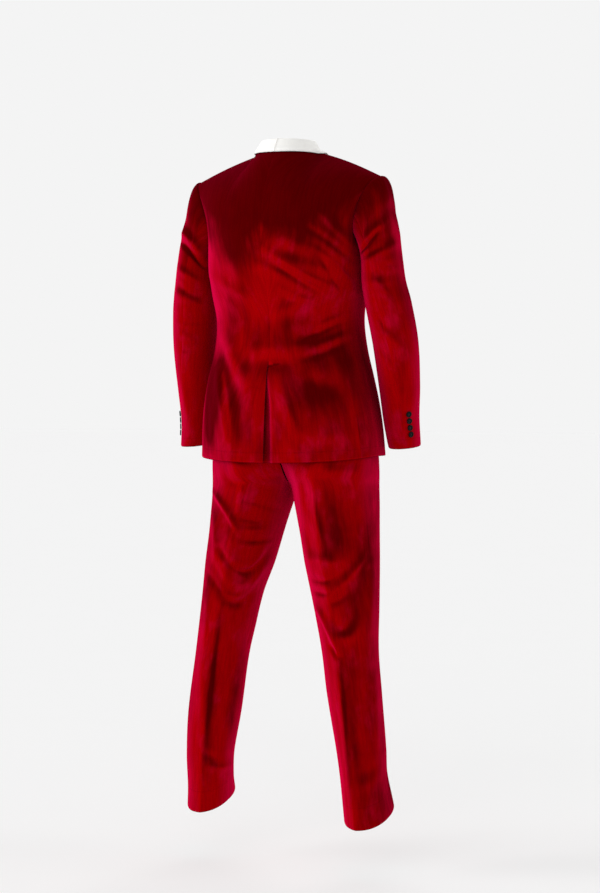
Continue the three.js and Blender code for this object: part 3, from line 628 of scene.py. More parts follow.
def velvet(name, hem, shade=0.0):
    """Deep red velvet with light and shade painted into its colour: painted shade where it faces up, on its
    upper part and along painted lines, painted highlights in random patches, painted sheen where it turns
    away, and painted shade at the hem's edge and where it faces straight down. hem is how high the hem's
    stitches stand, shade how much painted shade darkens its upper part."""
    g = Graph(name)
    uv = g.uv()
    up_hem = g.node("ShaderNodeSeparateXYZ", {}, {0: uv}, out=1)
    slope = g.node("ShaderNodeSeparateXYZ", {}, {0: g.node("ShaderNodeTexCoord", out=1)}, out=2)
    height_up = g.node("ShaderNodeSeparateXYZ", {}, {0: g.place()}, out=2)
    turn = g.node("ShaderNodeLayerWeight", {}, {"Blend": 0.5}, out=1)
    streaks = g.noise(g.stretched(uv, 1, 0.2), 34, 4)
    brushed = g.noise(g.stretched(uv, 1, 0.5), 11, 3)
    highlight_noise = g.noise(g.stretched(uv, 1, 0.55), 19, 4, 0.6)
    grain = g.noise(g.stretched(uv, 1, 0.09), 210, 2)
    pile = g.noise(uv, 900, 2)
    crushed = g.noise(g.stretched(uv, 1, 0.7), 60, 4, 0.6)
    # Painted shade and highlight laid on each panel's points
    painted_strokes = g.node("ShaderNodeAttribute", {"attribute_name": "Painted_shading"}, out=2)
    # Random mottle that shifts where the painted shade and painted sheen fall
    shade_variation = (brushed - 0.5) * 0.8 + (streaks - 0.5) * 0.8
    # Painted shade: darker facing up, on the upper part and along painted lines; lighter facing down
    shoulder_shade = g.ramp(height_up + shade_variation * 0.09, -0.28, -0.13) * shade
    down = g.ramp(slope * 1.35 + shade_variation + shoulder_shade + painted_strokes * (0.7 + brushed * 0.6), -0.35, 0.55)
    # Lit and shaded copies of the velvet's red, mixed by that painted shade
    lit = g.mix(down, VELVET_LIT, VELVET_SHADED)
    # Painted highlight in random patches, only where the painted shade is light
    highlight_patches = g.mix(g.ramp(highlight_noise, 0.48, 0.74) * (1 - down) * 0.75, lit, PAINTED_HIGHLIGHT)
    # Painted sheen: a brighter crimson where the cloth turns away from the view, less in the painted shade
    painted_sheen = g.ramp(turn + shade_variation * 0.4, 0.16, 0.88) * (1 - down * 0.93)
    colour = g.mix(painted_sheen, highlight_patches, PAINTED_SHEEN_RED)
    speckle = g.mix(g.ramp(pile, 0.3, 0.7), (0.84, 0.82, 0.82), (1.13, 1.1, 1.1))
    lines = g.mix(g.ramp(grain, 0.35, 0.65), (0.92, 0.91, 0.91), (1.07, 1.06, 1.06))
    # Painted shade along the hem's very edge and on faces that look straight down
    fold_shadow = g.ramp(up_hem, 0.0003, 0.003)
    under_shade = g.mix(fold_shadow * g.ramp(slope, -0.85, -0.5), (0.4, 0.35, 0.35), (1.0, 1.0, 1.0))
    for tint in (speckle, lines, under_shade):
        colour = g.times(colour, tint)
    hem_line = g.ramp(g.math("ABSOLUTE", up_hem - hem, 0.0), 0.0002, 0.0016)
    height = pile * 0.25 + crushed * 1.1 + hem_line * 1.3 + streaks * 0.8
    return g.finish(
        Base_Color=colour,
        Roughness=g.ramp(streaks, 0.2, 0.8) * 0.15 + 0.75,
        Specular_IOR_Level=0.0,
        Sheen_Weight=0.08,
        Sheen_Roughness=0.35,
        Sheen_Tint=(1.0, 0.01, 0.12, 1),
        Normal=g.bump(0.55, 0.0012, height),
    )


def cloth_back():
    """The velvet's ground weave, seen inside the suit."""
    g = Graph("Back of the cloth")
    uv = g.uv()
    sockets = {"Vector": uv, "Scale": 260, "Distortion": 0.6}
    ribs = g.node("ShaderNodeTexWave", {"bands_direction": "DIAGONAL"}, sockets, out=1)
    patches = g.noise(uv, 20)
    colour = g.mix(patches, (0.085, 0.003, 0.006), (0.13, 0.005, 0.01))
    bump = g.bump(0.3, 0.0003, ribs)
    return g.finish(Base_Color=colour, Roughness=0.8, Specular_IOR_Level=0.2, Normal=bump)


wrong_side = cloth_back()
jacket_cloth = [velvet("Velvet, jacket", HEM_TURN, 0.55), wrong_side]

# Drags from the middle of the back to the right armhole, folds in the waist and the flared skirt
BODY_CREASES = folds(
    (60, -150, 95, -195, 140, -232, 10, 2.4, 0.3),
    (35, -190, 80, -215, 138, -262, 8, -2.5),
    (50, -235, 95, -265, 140, -322, 11, 4.5, -0.3),
    (-42, -248, 20, -290, 105, -338, 12, 5, 0.3),
    (-35, -275, 15, -308, 50, -322, 9, -2),
    (-15, -318, 30, -345, 72, -345, 10, -2.2, 0.2),
    (122, -380, 80, -398, 30, -425, 10, 3, 0.3),
    (120, -392, 75, -412, 18, -440, 8, -3, -0.3),
    (122, -424, 85, -440, 45, -455, 10, 2.8, 0.2),
    (118, -440, 70, -470, 20, -478, 9, -2.5),
    (-44, -492, -30, -545, 14, -640, 13, 5, -0.3),
    (30, -515, 62, -540, 105, -545, 22, -4),
    (74, -412, 40, -424, -4, -436, 16, -4),
    (85, -455, 118, -520, 150, -600, 16, 3),
    (-84, -440, -72, -490, -76, -540, 14, 3, 0.2),
    (-158, -405, -130, -490, -100, -545, 17, 5.5, 0.2),
    (-165, -505, -152, -590, -140, -672, 7, 6, -0.4),
    (-128, -520, -120, -600, -118, -690, 14, -5, 0.2),
    (-180, -560, -176, -620, -180, -690, 8, 3.5, 0.2),
    (-196, -200, -186, -260, -170, -330, 12, 3.5),
    (-150, -230, -140, -280, -130, -350, 16, -2),
    (-120, -130, -60, -165, 10, -160, 18, -2),
    (-60, -90, -20, -105, 20, -120, 14, 2),
)
# The front pulls a little to its button
FRONT_CREASES = folds(
    (-30, -395, 40, -380, 110, -350, 12, 3, 0.2),
    (-30, -402, 40, -420, 115, -430, 12, -2.5, 0.2),
    (30, -400, -60, -385, -130, -350, 12, 3, -0.2),
    (30, -405, -60, -425, -130, -440, 13, -2.5),
    (-100, -230, -90, -290, -60, -340, 14, 3),
    (120, -240, 105, -290, 80, -340, 14, 3),
    (-150, -470, -140, -560, -130, -680, 18, 4, 0.2),
    (140, -470, 140, -560, 150, -680, 18, 4, -0.2),
)
# Painted shade along these lines on the back's plane, and painted highlight where below nought
BODY_PAINTED_SHADING = folds(
    (-112, -150, -116, -250, -92, -405, 28, 0.5),
    (-20, -215, -30, -300, -22, -420, 20, 0.3),
    (-205, -180, -188, -245, -160, -350, 13, -1.1),
    (-157, -408, -138, -470, -104, -539, 9, -0.45),
    (-150, -480, -128, -575, -116, -686, 17, 0.25),
    (-172, -485, -178, -570, -186, -680, 16, 0.8),
    (-153, -508, -146, -600, -137, -680, 6, -0.75),
    (-6, -350, 14, -400, 0, -455, 38, 0.3),
    (112, -409, 60, -437, 2, -433, 30, 0.15),
    (-40, -259, 8, -294, 62, -316, 7, -0.7),
    (-33, -281, 16, -308, 66, -338, 10, 0.5),
    (-26, -327, 6, -348, 41, -352, 7, -0.6),
    (70, -228, 106, -280, 116, -334, 15, -0.75),
    (56, -252, 88, -296, 116, -345, 6, 0.5),
    (-36, -502, -14, -570, 2, -652, 8, -0.5),
    (-98, -474, -50, -470, 4, -474, 16, -0.8),
    (12, -538, 62, -566, 112, -584, 34, 0.3),
    (90, -445, 112, -482, 118, -525, 28, 0.12),
    (0, -650, 60, -668, 130, -655, 14, -0.25),
    (-45, -222, 0, -232, 42, -252, 16, -0.55),
    (-150, -262, -135, -300, -120, -330, 16, -0.4),
    (-148, -300, -138, -355, -122, -415, 20, 0.4),
)
body_creases = [("back", BODY_CREASES), ("front", FRONT_CREASES)]
JACKET_CORE = np.array([0, 0, -400])

for word, side, area in (("left", 1, 0.149), ("right", -1, 0.1575)):
    cloth_panel(
        "back_" + word, back_surface(side), 66, 210, JACKET_CORE,
        (PRESSED, PRESSED, PRESSED, EDGE), jacket_cloth, body_creases,
        grain=1, meet=YOKE_SHARE, shading_strokes=BODY_PAINTED_SHADING,
    )
    cloth_panel(
        "side_" + word, side_surface(side), 26, 140, JACKET_CORE,
        (PRESSED, PRESSED, SEAM, EDGE), jacket_cloth, body_creases,
        shading_strokes=BODY_PAINTED_SHADING,
    )
    cloth_panel(
        "front_" + word, front_surface(side), 50, 170, JACKET_CORE,
        (PRESSED, EDGE, PRESSED, EDGE), jacket_cloth, body_creases,
        grain=0, meet=YOKE_SHARE,
    )


# ---- The sleeves: a top and an under piece each, whose back seam runs down to the cuff ----
# The same velvet. The head is eased into the armhole over a little roll of wadding, so it stands proud of
# the shoulder, and the arm bends forwards at the elbow.
CUFF = -668
ARM_TOP, HEAD_FOOT = -180, -256
HEAD_SHARE = 0.3
FRONT_SEAM_ANGLE = 236
EASE_RIPPLES, EASE_HEIGHT = 15, 1.3  # the eased head ripples this often all round, this high
NOTCH_DEPTH = 2.2  # the dip where the wadding ends
BACK_CORNER, FRONT_CORNER = 120, 232
ARM = table(
    "z left right y wide deep",
    (-240, 234, 234, 15, 43, 60),
    (-300, 240, 238, 13, 47, 60),
    (-350, 247, 246, 6, 50, 58),
    (-435, 256, 256, -10, 50, 54),
    (-533, 264, 255, -35, 45, 50),
    (-606, 271, 252, -52, 39, 47),
    (-668, 286, 253, -68, 34, 46),
)
ELBOW_SEAM = table("z angle", (-180, 100), (-435, 88), (-560, 66), (-668, 50))


def armhole(degrees):
    """The armhole as one ring: 0 degrees at the shoulder tip, 90 at the back."""
    turn = np.mod(degrees, 360)
    share = clamp((turn - BACK_CORNER) / (FRONT_CORNER - BACK_CORNER))
    foot = torso(1, mix(UNDERARM_BACK, UNDERARM_FRONT, share), side_top(share))
    back = back_armhole(clamp(1 - turn / BACK_CORNER))
    front = front_armhole(clamp((turn - FRONT_CORNER) / (360 - FRONT_CORNER)))
    front_half = np.where((turn > FRONT_CORNER)[..., None], front, foot)
    return np.where((turn < BACK_CORNER)[..., None], back, front_half)


def arm_ring(word, degrees, z):
    c, s = cos_sin(degrees)
    slope = (column(ARM, "y", z + 15) - column(ARM, "y", z - 15)) / 30
    reach = column(ARM, "deep", z) * s
    x = column(ARM, word, z) + column(ARM, "wide", z) * c
    return point(x, column(ARM, "y", z) + reach, z - slope * reach)


def sleeve_surface(word, side, start, end):
    def surface(u, v):
        z = mix(ARM_TOP, CUFF, v)
        degrees = mix(start(z), end(z), u)
        c, s = cos_sin(degrees)
        foot_z = HEAD_FOOT + 10 * c
        tube = arm_ring(word, degrees, mix(foot_z, CUFF, clamp((v - HEAD_SHARE) / (1 - HEAD_SHARE))))
        high = (1 + c) / 2
        # The head leaves the armhole outwards, at the tip also up, at front and back a little down.
        leave = point(7 + 64 * high, 24 * s, 14 * high + 36 * high**4 - 20 * (1 - np.abs(c)))
        foot = arm_ring(word, degrees, foot_z)
        arrive = unit(arm_ring(word, degrees, foot_z - 8) - foot) * (30 + 115 * high)[..., None]
        head = hermite(armhole(degrees), leave, foot, arrive, clamp(v / HEAD_SHARE))
        ease = np.sin(np.radians(degrees) * EASE_RIPPLES + 2 * side) * np.exp(-(((v - 0.085) / 0.035) ** 2))
        notch = np.exp(-(((v - 0.155) / 0.022) ** 2))
        proud = high**2 * (EASE_HEIGHT * ease - NOTCH_DEPTH * notch)
        head = head + proud[..., None] * point(c, s, 0.2)
        return settle(np.where((v < HEAD_SHARE)[..., None], head, tube) * (side, 1, 1))

    return surface


def elbow(z):
    return column(ELBOW_SEAM, "angle", z)


def front_seam(z):
    return np.full_like(z, FRONT_SEAM_ANGLE)


# The pinch under the right arm with drags round the upper arm, wrinkles at both elbows
SLEEVE_CREASES = folds(
    (150, -246, 170, -222, 192, -196, 4, -6.5),
    (160, -222, 180, -196, 205, -180, 9, 2.8, 0.2),
    (158, -258, 185, -238, 210, -232, 7, -1.8),
    (160, -268, 200, -240, 236, -222, 10, 3),
    (165, -290, 195, -275, 228, -272, 7, -1.6),
    (165, -322, 188, -308, 212, -312, 12, 2.8, 0.2),
    (175, -345, 195, -335, 222, -345, 9, -1.5),
    (178, -372, 200, -395, 214, -425, 9, -3.5, 0.3),
    (205, -420, 222, -430, 246, -470, 11, 4),
    (190, -450, 212, -462, 225, -490, 8, -2.5),
    (222, -480, 228, -540, 232, -600, 10, 3),
    (240, -190, 250, -205, 262, -225, 10, 3),
    (-262, -196, -235, -222, -203, -262, 6, -6.5, 0.2),
    (-262, -176, -235, -190, -205, -240, 9, 4.5, 0.2),
    (-262, -262, -240, -285, -210, -300, 9, 4),
    (-264, -300, -240, -325, -210, -330, 8, -3.5),
    (-268, -318, -240, -345, -205, -352, 10, 3.5),
    (-262, -380, -235, -392, -205, -385, 8, -3),
    (-262, -410, -240, -425, -215, -440, 9, 3),
    (-258, -450, -240, -455, -222, -448, 7, -2.5),
    (-262, -500, -245, -560, -240, -630, 10, 3),
)
SLEEVE_FRONT_CREASES = folds(
    (-262, -205, -240, -235, -210, -262, 8, -4),
    (-268, -330, -240, -360, -215, -368, 9, -3),
    (-262, -400, -240, -415, -222, -440, 9, -3),
    (-262, -430, -245, -470, -232, -520, 10, 3),
    (188, -205, 210, -235, 235, -262, 8, -4),
    (190, -380, 220, -395, 245, -420, 9, -3),
    (190, -420, 215, -440, 240, -480, 9, 3),
)
# Painted shade on the sleeves along these lines, and painted highlight where below nought
SLEEVE_PAINTED_SHADING = folds(
    (216, -150, 228, -190, 240, -240, 11, -0.4),
    (168, -286, 198, -280, 228, -286, 13, -0.5),
    (166, -330, 190, -342, 210, -350, 14, -0.5),
    (186, -300, 205, -318, 226, -352, 8, 0.35),
    (214, -402, 240, -470, 252, -600, 14, 0.3),
    (-262, -150, -268, -240, -270, -330, 9, -0.5),
)
sleeve_creases = [("back", SLEEVE_CREASES), ("front", SLEEVE_FRONT_CREASES)]
sleeve_cloth = [velvet("Velvet, sleeves", HEM_TURN, 0.1), wrong_side]

for word, side in (("left", 1), ("right", -1)):
    core = np.array([side * 245, 5, -400])
    for piece, start, end, across, area in (
        ("top", lambda z: front_seam(z) - 360, elbow, 58, 0.111),
        ("under", elbow, front_seam, 38, 0.066),
    ):
        cloth_panel(
            "sleeve_%s_%s" % (piece, word), sleeve_surface(word, side, start, end), across, 170, core,
            (PRESSED, PRESSED, SET_IN, EDGE),
            sleeve_cloth, sleeve_creases, shading_strokes=SLEEVE_PAINTED_SHADING,
        )


# ---- The trousers: a back and a front to each leg, and the waistband ----
# Pressed creases down the middle of each panel, a seat that folds below its fullest part, soft breaks where
# the hem rests on the instep. The hem is turned up deep and caught by a line of stitches.
LEG_ROUND = 2.1
WAIST_TOP, WAIST_SEAM, CROTCH, TROUSER_HEM = -388, -426, -755, -1492
HEM_SLANT = 23  # the hem is lower at the back than at the front by twice this
CREASE_STANDS = 0.075  # how far the pressed crease stands out, as a share of the leg's depth
CREASE_WIDTH = 0.33  # the sine of the angle from the crease at which the leg is round again
SEAT_FOLD = 0.62  # at the seat the crease runs at this share of the panel
SEAT_DRIFT = 14  # the seat is pulled this far to the wearer's right
LEG_TURN = {"left": 12, "right": 0}  # the left foot is turned out, and its leg's creases with it
PELVIS = [
    (WAIST_TOP, 0, 0, 158, 105, 98),
    (WAIST_SEAM, 0, 0, 160, 106, 100),
    (-480, 12, -2, 161, 113, 108),
    (-560, 28, -6, 162, 125, 118),
    (-640, 52, -10, 147, 126, 121),
    (-690, 70, -14, 131.5, 122, 119),
    (-730, 89, -15.5, 112.5, 117, 116),
    (CROTCH, 100.3, -16, 100, 113.5, 113),
]
LEGS = {
    "left": table(
        "z x y wide back front",
        *PELVIS,
        (-800, 107.5, -14, 91, 107, 106),
        (-850, 115, -9, 83, 101, 100),
        (-935, 128, 5, 76, 91, 90),
        (-1010, 143, 14, 66, 80, 80),
        (-1142, 169, 14, 60, 68, 67),
        (-1279, 191, 12, 60, 64, 64),
        (-1379, 207, 5, 53, 60, 62),
        (-1448, 214, -7, 49, 60, 66),
        (-1492, 220, -18, 49, 64, 78),
    ),
    "right": table(
        "z x y wide back front",
        *PELVIS,
        (-800, 109, -14.5, 93.5, 108, 107),
        (-850, 117, -12, 87, 103, 102),
        (-935, 130, -2, 80.5, 94, 92),
        (-1028, 143, 5, 71, 80, 80),
        (-1124, 154, 9, 62, 70, 68),
        (-1218, 164, 9, 60, 66, 65),
        (-1343, 178, 3, 54, 62, 62),
        (-1404, 183, 1, 50, 60, 63),
        (-1492, 191, -8, 51, 65, 79),
    ),
}


def leg_point(word, side, degrees, z):
    """One leg by the angle from its outer side; 90 degrees is its back crease."""
    rows = LEGS[word]
    c, s = cos_sin(degrees)
    fold = np.where(s > 0, fold_angle(word, z, 1), -fold_angle(word, z, -1))
    from_fold = np.abs(np.sin(np.radians(degrees - fold)))
    crease = 1 + CREASE_STANDS * below(z, -650, 90) * np.maximum(0, 1 - from_fold / CREASE_WIDTH) ** 1.25
    depth = np.where(s > 0, column(rows, "back", z), column(rows, "front", z))
    y = column(rows, "y", z) + depth * crease * power(s, 2 / LEG_ROUND)
    slant = HEM_SLANT * below(z, -1320, 172) * s
    x = column(rows, "x", z) + column(rows, "wide", z) * power(c, 2 / LEG_ROUND)
    low = below(z, -540, 120) * smooth((z + 850) / 120)
    return point(side * x - SEAT_DRIFT * smooth((y + 10) / 90) * low, y, z - slant)


def inner_angle(word, z):
    """How far round the leg a panel runs before it meets the other leg or the inside seam."""
    rows = LEGS[word]
    share = clamp((column(rows, "x", z) - 0.2) / column(rows, "wide", z))
    return np.where(z < CROTCH, 180, np.degrees(np.arccos(-(share ** (LEG_ROUND / 2)))))


def fold_angle(word, z, turn):
    """Where the pressed crease runs: down the middle of the panel, from the seat on the middle of the leg."""
    return np.minimum(90 + turn * LEG_TURN[word], SEAT_FOLD * inner_angle(word, z))


def leg_surface(word, side, turn):
    def surface(u, v):
        z = mix(WAIST_SEAM, TROUSER_HEM, v)
        fold = fold_angle(word, z, turn)
        degrees = np.where(u < 0.5, 2 * fold * u, mix(fold, inner_angle(word, z), 2 * u - 1))
        return leg_point(word, side, turn * degrees, z)

    return surface


# Left leg: drags from the hip to below the seat, a hanging crescent behind the knee. Right leg: drags from
# the fork, a knot of short folds behind the knee.
LEG_CREASES = folds(
    (-182, -778, -150, -812, -120, -872, 6, 5, 0.4),
    (-175, -830, -170, -880, -172, -930, 7, 4),
    (-112, -792, -75, -800, -32, -818, 9, -4, 0.2),
    (-120, -832, -95, -842, -62, -842, 7, -3, 0.2),
    (-112, -862, -85, -868, -55, -862, 9, 3),
    (-108, -885, -80, -890, -45, -885, 7, -3),
    (-160, -905, -105, -1010, -48, -905, 8, -6, -0.3),
    (-165, -930, -118, -1045, -52, -935, 10, 5),
    (-182, -970, -125, -1090, -58, -965, 10, -5, -0.2),
    (-190, -1010, -186, -1060, -198, -1120, 8, 4),
    (-74, -1035, -84, -1080, -92, -1140, 8, 4),
    (-120, -1060, -100, -1100, -105, -1180, 14, -2),
    (-150, -690, -120, -720, -60, -730, 14, 3),
    (-140, -745, -100, -765, -40, -770, 12, -2.5),
    (-205, -1160, -200, -1240, -208, -1330, 10, 3),
    (-150, -1200, -156, -1280, -165, -1360, 12, -2),
    (-26, -700, -4, -742, 2, -790, 11, -5, 0.2),
    (5, -725, 28, -800, 40, -850, 12, 4, -0.2),
    (25, -850, 38, -905, 46, -955, 12, 4),
    (40, -930, 70, -915, 95, -940, 16, 4),
    (44, -962, 66, -975, 88, -962, 7, -4),
    (50, -990, 66, -1000, 82, -995, 6, -3.5),
    (88, -1000, 118, -975, 160, -920, 9, 5, 0.3),
    (82, -1020, 105, -1015, 128, -990, 9, -3.5),
    (90, -1035, 118, -1150, 170, -950, 12, -4.5, -0.2),
    (55, -1030, 78, -1065, 100, -1125, 6, 5.5, 0.4),
    (86, -1110, 92, -1120, 102, -1138, 5, -4.5),
    (100, -1085, 125, -1110, 150, -1060, 12, 3),
    (182, -930, 180, -1000, 178, -1080, 9, 3.5),
    (150, -730, 120, -790, 130, -860, 24, -2),
    (60, -720, 95, -735, 150, -725, 14, 3),
    (185, -1180, 188, -1250, 192, -1330, 9, 3),
    (120, -1180, 128, -1260, 140, -1340, 14, -2.5),
    (-205, -1372, -185, -1392, -150, -1395, 10, -1.8),
    (-190, -1408, -165, -1422, -138, -1415, 9, 3),
    (190, -1370, 178, -1392, 140, -1400, 12, -0.8),
    (196, -1390, 175, -1420, 140, -1428, 13, 1.2),
)
LEG_FRONT_CREASES = folds(
    (-150, -640, -110, -690, -50, -745, 14, 4),
    (-60, -700, -30, -730, 0, -770, 10, -3),
    (60, -700, 30, -730, 0, -770, 10, -3),
    (150, -640, 110, -690, 50, -745, 14, 4),
    (-170, -930, -130, -960, -90, -940, 10, 3),
    (-180, -1000, -150, -1040, -100, -1030, 10, -3),
    (150, -930, 120, -960, 80, -940, 10, 3),
    (160, -1000, 130, -1040, 90, -1030, 10, -3),
    (-210, -1345, -185, -1375, -150, -1360, 9, -4),
    (-212, -1390, -185, -1425, -150, -1405, 10, 4),
    (-215, -1430, -190, -1460, -160, -1450, 8, -3),
    (200, -1350, 180, -1380, 145, -1365, 9, -4),
    (205, -1390, 180, -1425, 145, -1405, 10, 4),
    (208, -1430, 180, -1460, 150, -1450, 8, -3),
)
# Painted shade on the legs along these lines, and painted highlight where below nought
LEG_PAINTED_SHADING = folds(
    (30, -728, 38, -814, 57, -905, 12, -0.6),
    (78, -760, 98, -830, 104, -912, 18, 0.4),
    (81, -1140, 103, -1284, 124, -1490, 10, -0.5),
    (121, -1150, 142, -1310, 152, -1460, 14, 0.35),
    (44, -937, 87, -955, 129, -926, 14, -0.6),
    (172, -856, 168, -965, 124, -1070, 13, 0.35),
    (-116, -728, -117, -790, -119, -834, 6, -0.5),
    (-176, -921, -148, -965, -112, -978, 10, -0.8),
    (-143, -894, -115, -921, -71, -910, 11, -0.5),
    (-192, -965, -158, -1018, -118, -1015, 11, 0.4),
    (-200, -1087, -214, -1253, -218, -1480, 9, -0.5),
    (-165, -1050, -187, -1253, -190, -1470, 10, 0.4),
    (-104, -1115, -126, -1253, -143, -1370, 15, 0.5),
    (110, -1140, 118, -1284, 134, -1480, 5, 0.45),
    (48, -739, 55, -820, 76, -912, 5, 0.45),
    (-156, -1031, -184, -1220, -203, -1440, 5, 0.45),
    (-109, -731, -110, -790, -113, -832, 5, 0.45),
)
leg_creases = [("back", LEG_CREASES), ("front", LEG_FRONT_CREASES)]
trouser_cloth = [velvet("Velvet, trousers", TURN_UP), wrong_side]

for word, side in (("left", 1), ("right", -1)):
    core = np.array([side * 140, 0, -900])
    for piece, turn, across, along in (("back", 1, 72, 300), ("front", -1, 60, 240)):
        cloth_panel(
            "trouser_%s_%s" % (piece, word), leg_surface(word, side, turn), across, along, core,
            (PRESSED, PRESSED, SEAM, EDGE),
            trouser_cloth, leg_creases, shading_strokes=LEG_PAINTED_SHADING,
        )

    def band(u, v, word=word, side=side):
        return leg_point(word, side, mix(-90, 90, u), mix(WAIST_TOP, WAIST_SEAM, v))

    cloth_panel(
        "waistband_" + word, band, 70, 12, np.array([0, 0, -410]),
        (SEAM, SEAM, EDGE, SEAM), trouser_cloth, (),
    )


# ---- The shawl collar, left and right half, joined at the middle of the neck ----
# An off-white band of finely ribbed silk. It stands round the neck, folds over and runs on down the fronts
# as the lapel, lying on the velvet a little clear of it.
BACK_COLLAR_SHARE = 0.24
COLLAR_STAND, COLLAR_FALL, COLLAR_LIFT, FACING = 24, 14, 1.5, 6
NECK_MIDDLE = (0, 12, 0)
COLLAR_LEAN = 0.55  # how far the stand leans in to the neck for its height
STAND_FADE = 0.28  # share of the length over which the stand sinks into the lapel
WRAP = CLOTH / 2 + COLLAR_LIFT + CLOTH  # radius of the fold about the edge it wraps
INSIDE, FOLD, FALL = 0.18, 0.42, 0.56  # shares of the width: up the inside, over the edge, down to the cloth
CLEAR, NECK_CLEAR, NECK_HUG = 0.7, 1.3, 3.0  # off the velvet, more so at the neck, and back in at its edge
YOKE_RUN = 620  # millimetres of cloth to a whole share of the back's length, at its yoke
INWARD = 0.02  # a step from an edge into its panel, as a share
LAPEL = table("along width", (0, 18), (0.12, 34), (0.35, 60), (0.6, 66), (0.82, 44), (1, 7))


def front_row(z):
    """How far down a front a height lies, as a share."""
    return YOKE_SHARE + (1 - YOKE_SHARE) * (z - FRONT_TOP) / (JACKET_HEM - FRONT_TOP)


ROLL_END = front_row(BUTTON_HEIGHT + 4)


def on_cloth(surface, u, v, core=JACKET_CORE):
    """A place on a panel, the ways across and down it, and the way out of the cloth."""
    d = 1e-3
    here = surface(u, v)
    du = unit(surface(u + d, v) - surface(u - d, v))
    dv = unit(surface(u, v + d) - surface(u, v - d))
    out = unit(np.cross(du, dv))
    return here, du, dv, out * np.sign(np.sum(out * (here - core), axis=-1, keepdims=True))


def edge_frame(surface, u, v, across):
    """A place near a panel's edge, the way out of the cloth there, and the way past its edge."""
    here, du, dv, out = on_cloth(surface, u, v)
    past = unit(np.cross(du if across else dv, out))
    inside = surface(u, v + INWARD) if across else surface(u - INWARD, v)
    past = past * -np.sign(np.sum(past * (inside - here), axis=-1, keepdims=True))
    return here, out, past


def collar_surface(side):
    back, front = back_surface(side), front_surface(side)

    def surface(q, s):
        at_back = s < BACK_COLLAR_SHARE
        t = (s - BACK_COLLAR_SHARE) / (1 - BACK_COLLAR_SHARE)
        u = clamp(s / BACK_COLLAR_SHARE) * NECK_SHARE
        v = np.maximum(0.004, t) * ROLL_END
        pick = at_back[..., None]
        one, zero = np.ones_like(q), np.zeros_like(q)
        here, out0, past0 = [
            np.where(pick, a, b)
            for a, b in zip(edge_frame(back, u, zero, True), edge_frame(front, one, v, False))
        ]
        rise = smooth(1 - (s - BACK_COLLAR_SHARE) / STAND_FADE)
        stand = COLLAR_STAND * rise
        # The stand rises round the neck and leans in to it.
        radial = unit((here - NECK_MIDDLE) * (1, 1, 0))
        upright = unit(point(0, 0, 1) - COLLAR_LEAN * radial)
        r = rise[..., None]
        past = unit(past0 * (1 - r) + upright * r)
        level = out0 * (1 - r) + radial * r
        out = unit(level - past * np.sum(level * past, axis=-1, keepdims=True))

        def place(n, e):
            return here + out * np.asarray(n - CLOTH / 2)[..., None] + past * np.asarray(e)[..., None]

        inner_leg = place(-WRAP * one, mix(-FACING, stand, clamp(q / INSIDE)))
        turn = np.pi * clamp((q - INSIDE) / (FOLD - INSIDE))
        roll = place(-WRAP * np.cos(turn), stand + WRAP * np.sin(turn))
        hug = NECK_HUG * rise * smooth((q - FALL) / 0.4)
        clear = (WRAP - CLOTH / 2 + CLEAR + NECK_CLEAR * rise - hug)[..., None]
        fallen = clamp((q - FOLD) / (FALL - FOLD))[..., None]
        drop = mix(place(WRAP * one, stand), here + out0 * clear, fallen)
        width = np.where(at_back, COLLAR_FALL, column(LAPEL, "width", clamp(t), "along"))
        lie = clamp((q - FALL) / (1 - FALL)) * width
        span = np.linalg.norm(front(one, v) - front(zero, v), axis=-1)
        on_back, out_back, _ = edge_frame(back, u, lie / YOKE_RUN, True)
        on_front, out_front, _ = edge_frame(front, 1 - lie / span, v, False)
        collar = np.where(pick, on_back + out_back * clear, on_front + out_front * clear)
        for limit, part in ((FALL, drop), (FOLD, roll), (INSIDE, inner_leg)):
            collar = np.where((q < limit)[..., None], part, collar)
        return collar

    return surface


def ribbed_silk():
    g = Graph("Ribbed silk")
    uv = g.uv()
    sockets = {"Vector": uv, "Scale": 210, "Distortion": 0.4}
    ribs = g.node("ShaderNodeTexWave", {"bands_direction": "X"}, sockets, out=1)
    slub = g.noise(g.stretched(uv, 0.15, 1), 260, 3)
    cloud = g.noise(uv, 14)
    tone = g.mix(cloud, (0.94, 0.925, 0.89), (0.98, 0.975, 0.95))
    threads = g.mix(ribs * 0.6 + slub * 0.4, (0.96, 0.955, 0.95), (1, 1, 1))
    return g.finish(
        Base_Color=g.times(tone, threads),
        Roughness=cloud * 0.1 + 0.42,
        Specular_IOR_Level=0.35,
        Sheen_Weight=0.15,
        Sheen_Roughness=0.4,
        Normal=g.bump(0.5, 0.0004, ribs + slub * 0.6),
    )


silk = ribbed_silk()
for word, side in (("left", 1), ("right", -1)):
    cloth_panel(
        "collar_" + word, collar_surface(side), 60, 190, np.array([0, -20, -120]),
        (EDGE, EDGE, SEAM, EDGE), [silk, silk], (),
    )


# ---- Buttons: four on each cuff and one at the waist ----
# Moulded polished black discs with a raised rim and four holes, sewn on with black thread.
SLEEVE_BUTTONS, BUTTON_PITCH, LOWEST_BUTTON = 4, 14.8, 34  # the lowest is this far above the cuff's edge
SLEEVE_COLUMN, WAIST_COLUMN = 0.89, 0.9  # how far across their panels the buttons stand
SLEEVE_BUTTON_RADIUS, WAIST_BUTTON_RADIUS = 6.8, 10
BUTTON_DEPTH, BUTTON_DISH, RIM_ROUND, BUTTON_CLEAR = 2.6, 0.7, 0.75, 0.7


def button_black():
    g = Graph("Black button")
    smears = g.noise(g.place(), 300, 2)
    colour = g.mix(smears, (0.002, 0.002, 0.0022), (0.006, 0.0055, 0.006))
    bump = g.bump(0.15, 0.0001, smears)
    return g.finish(Base_Color=colour, Roughness=smears * 0.12 + 0.12, Specular_IOR_Level=0.06, Normal=bump)


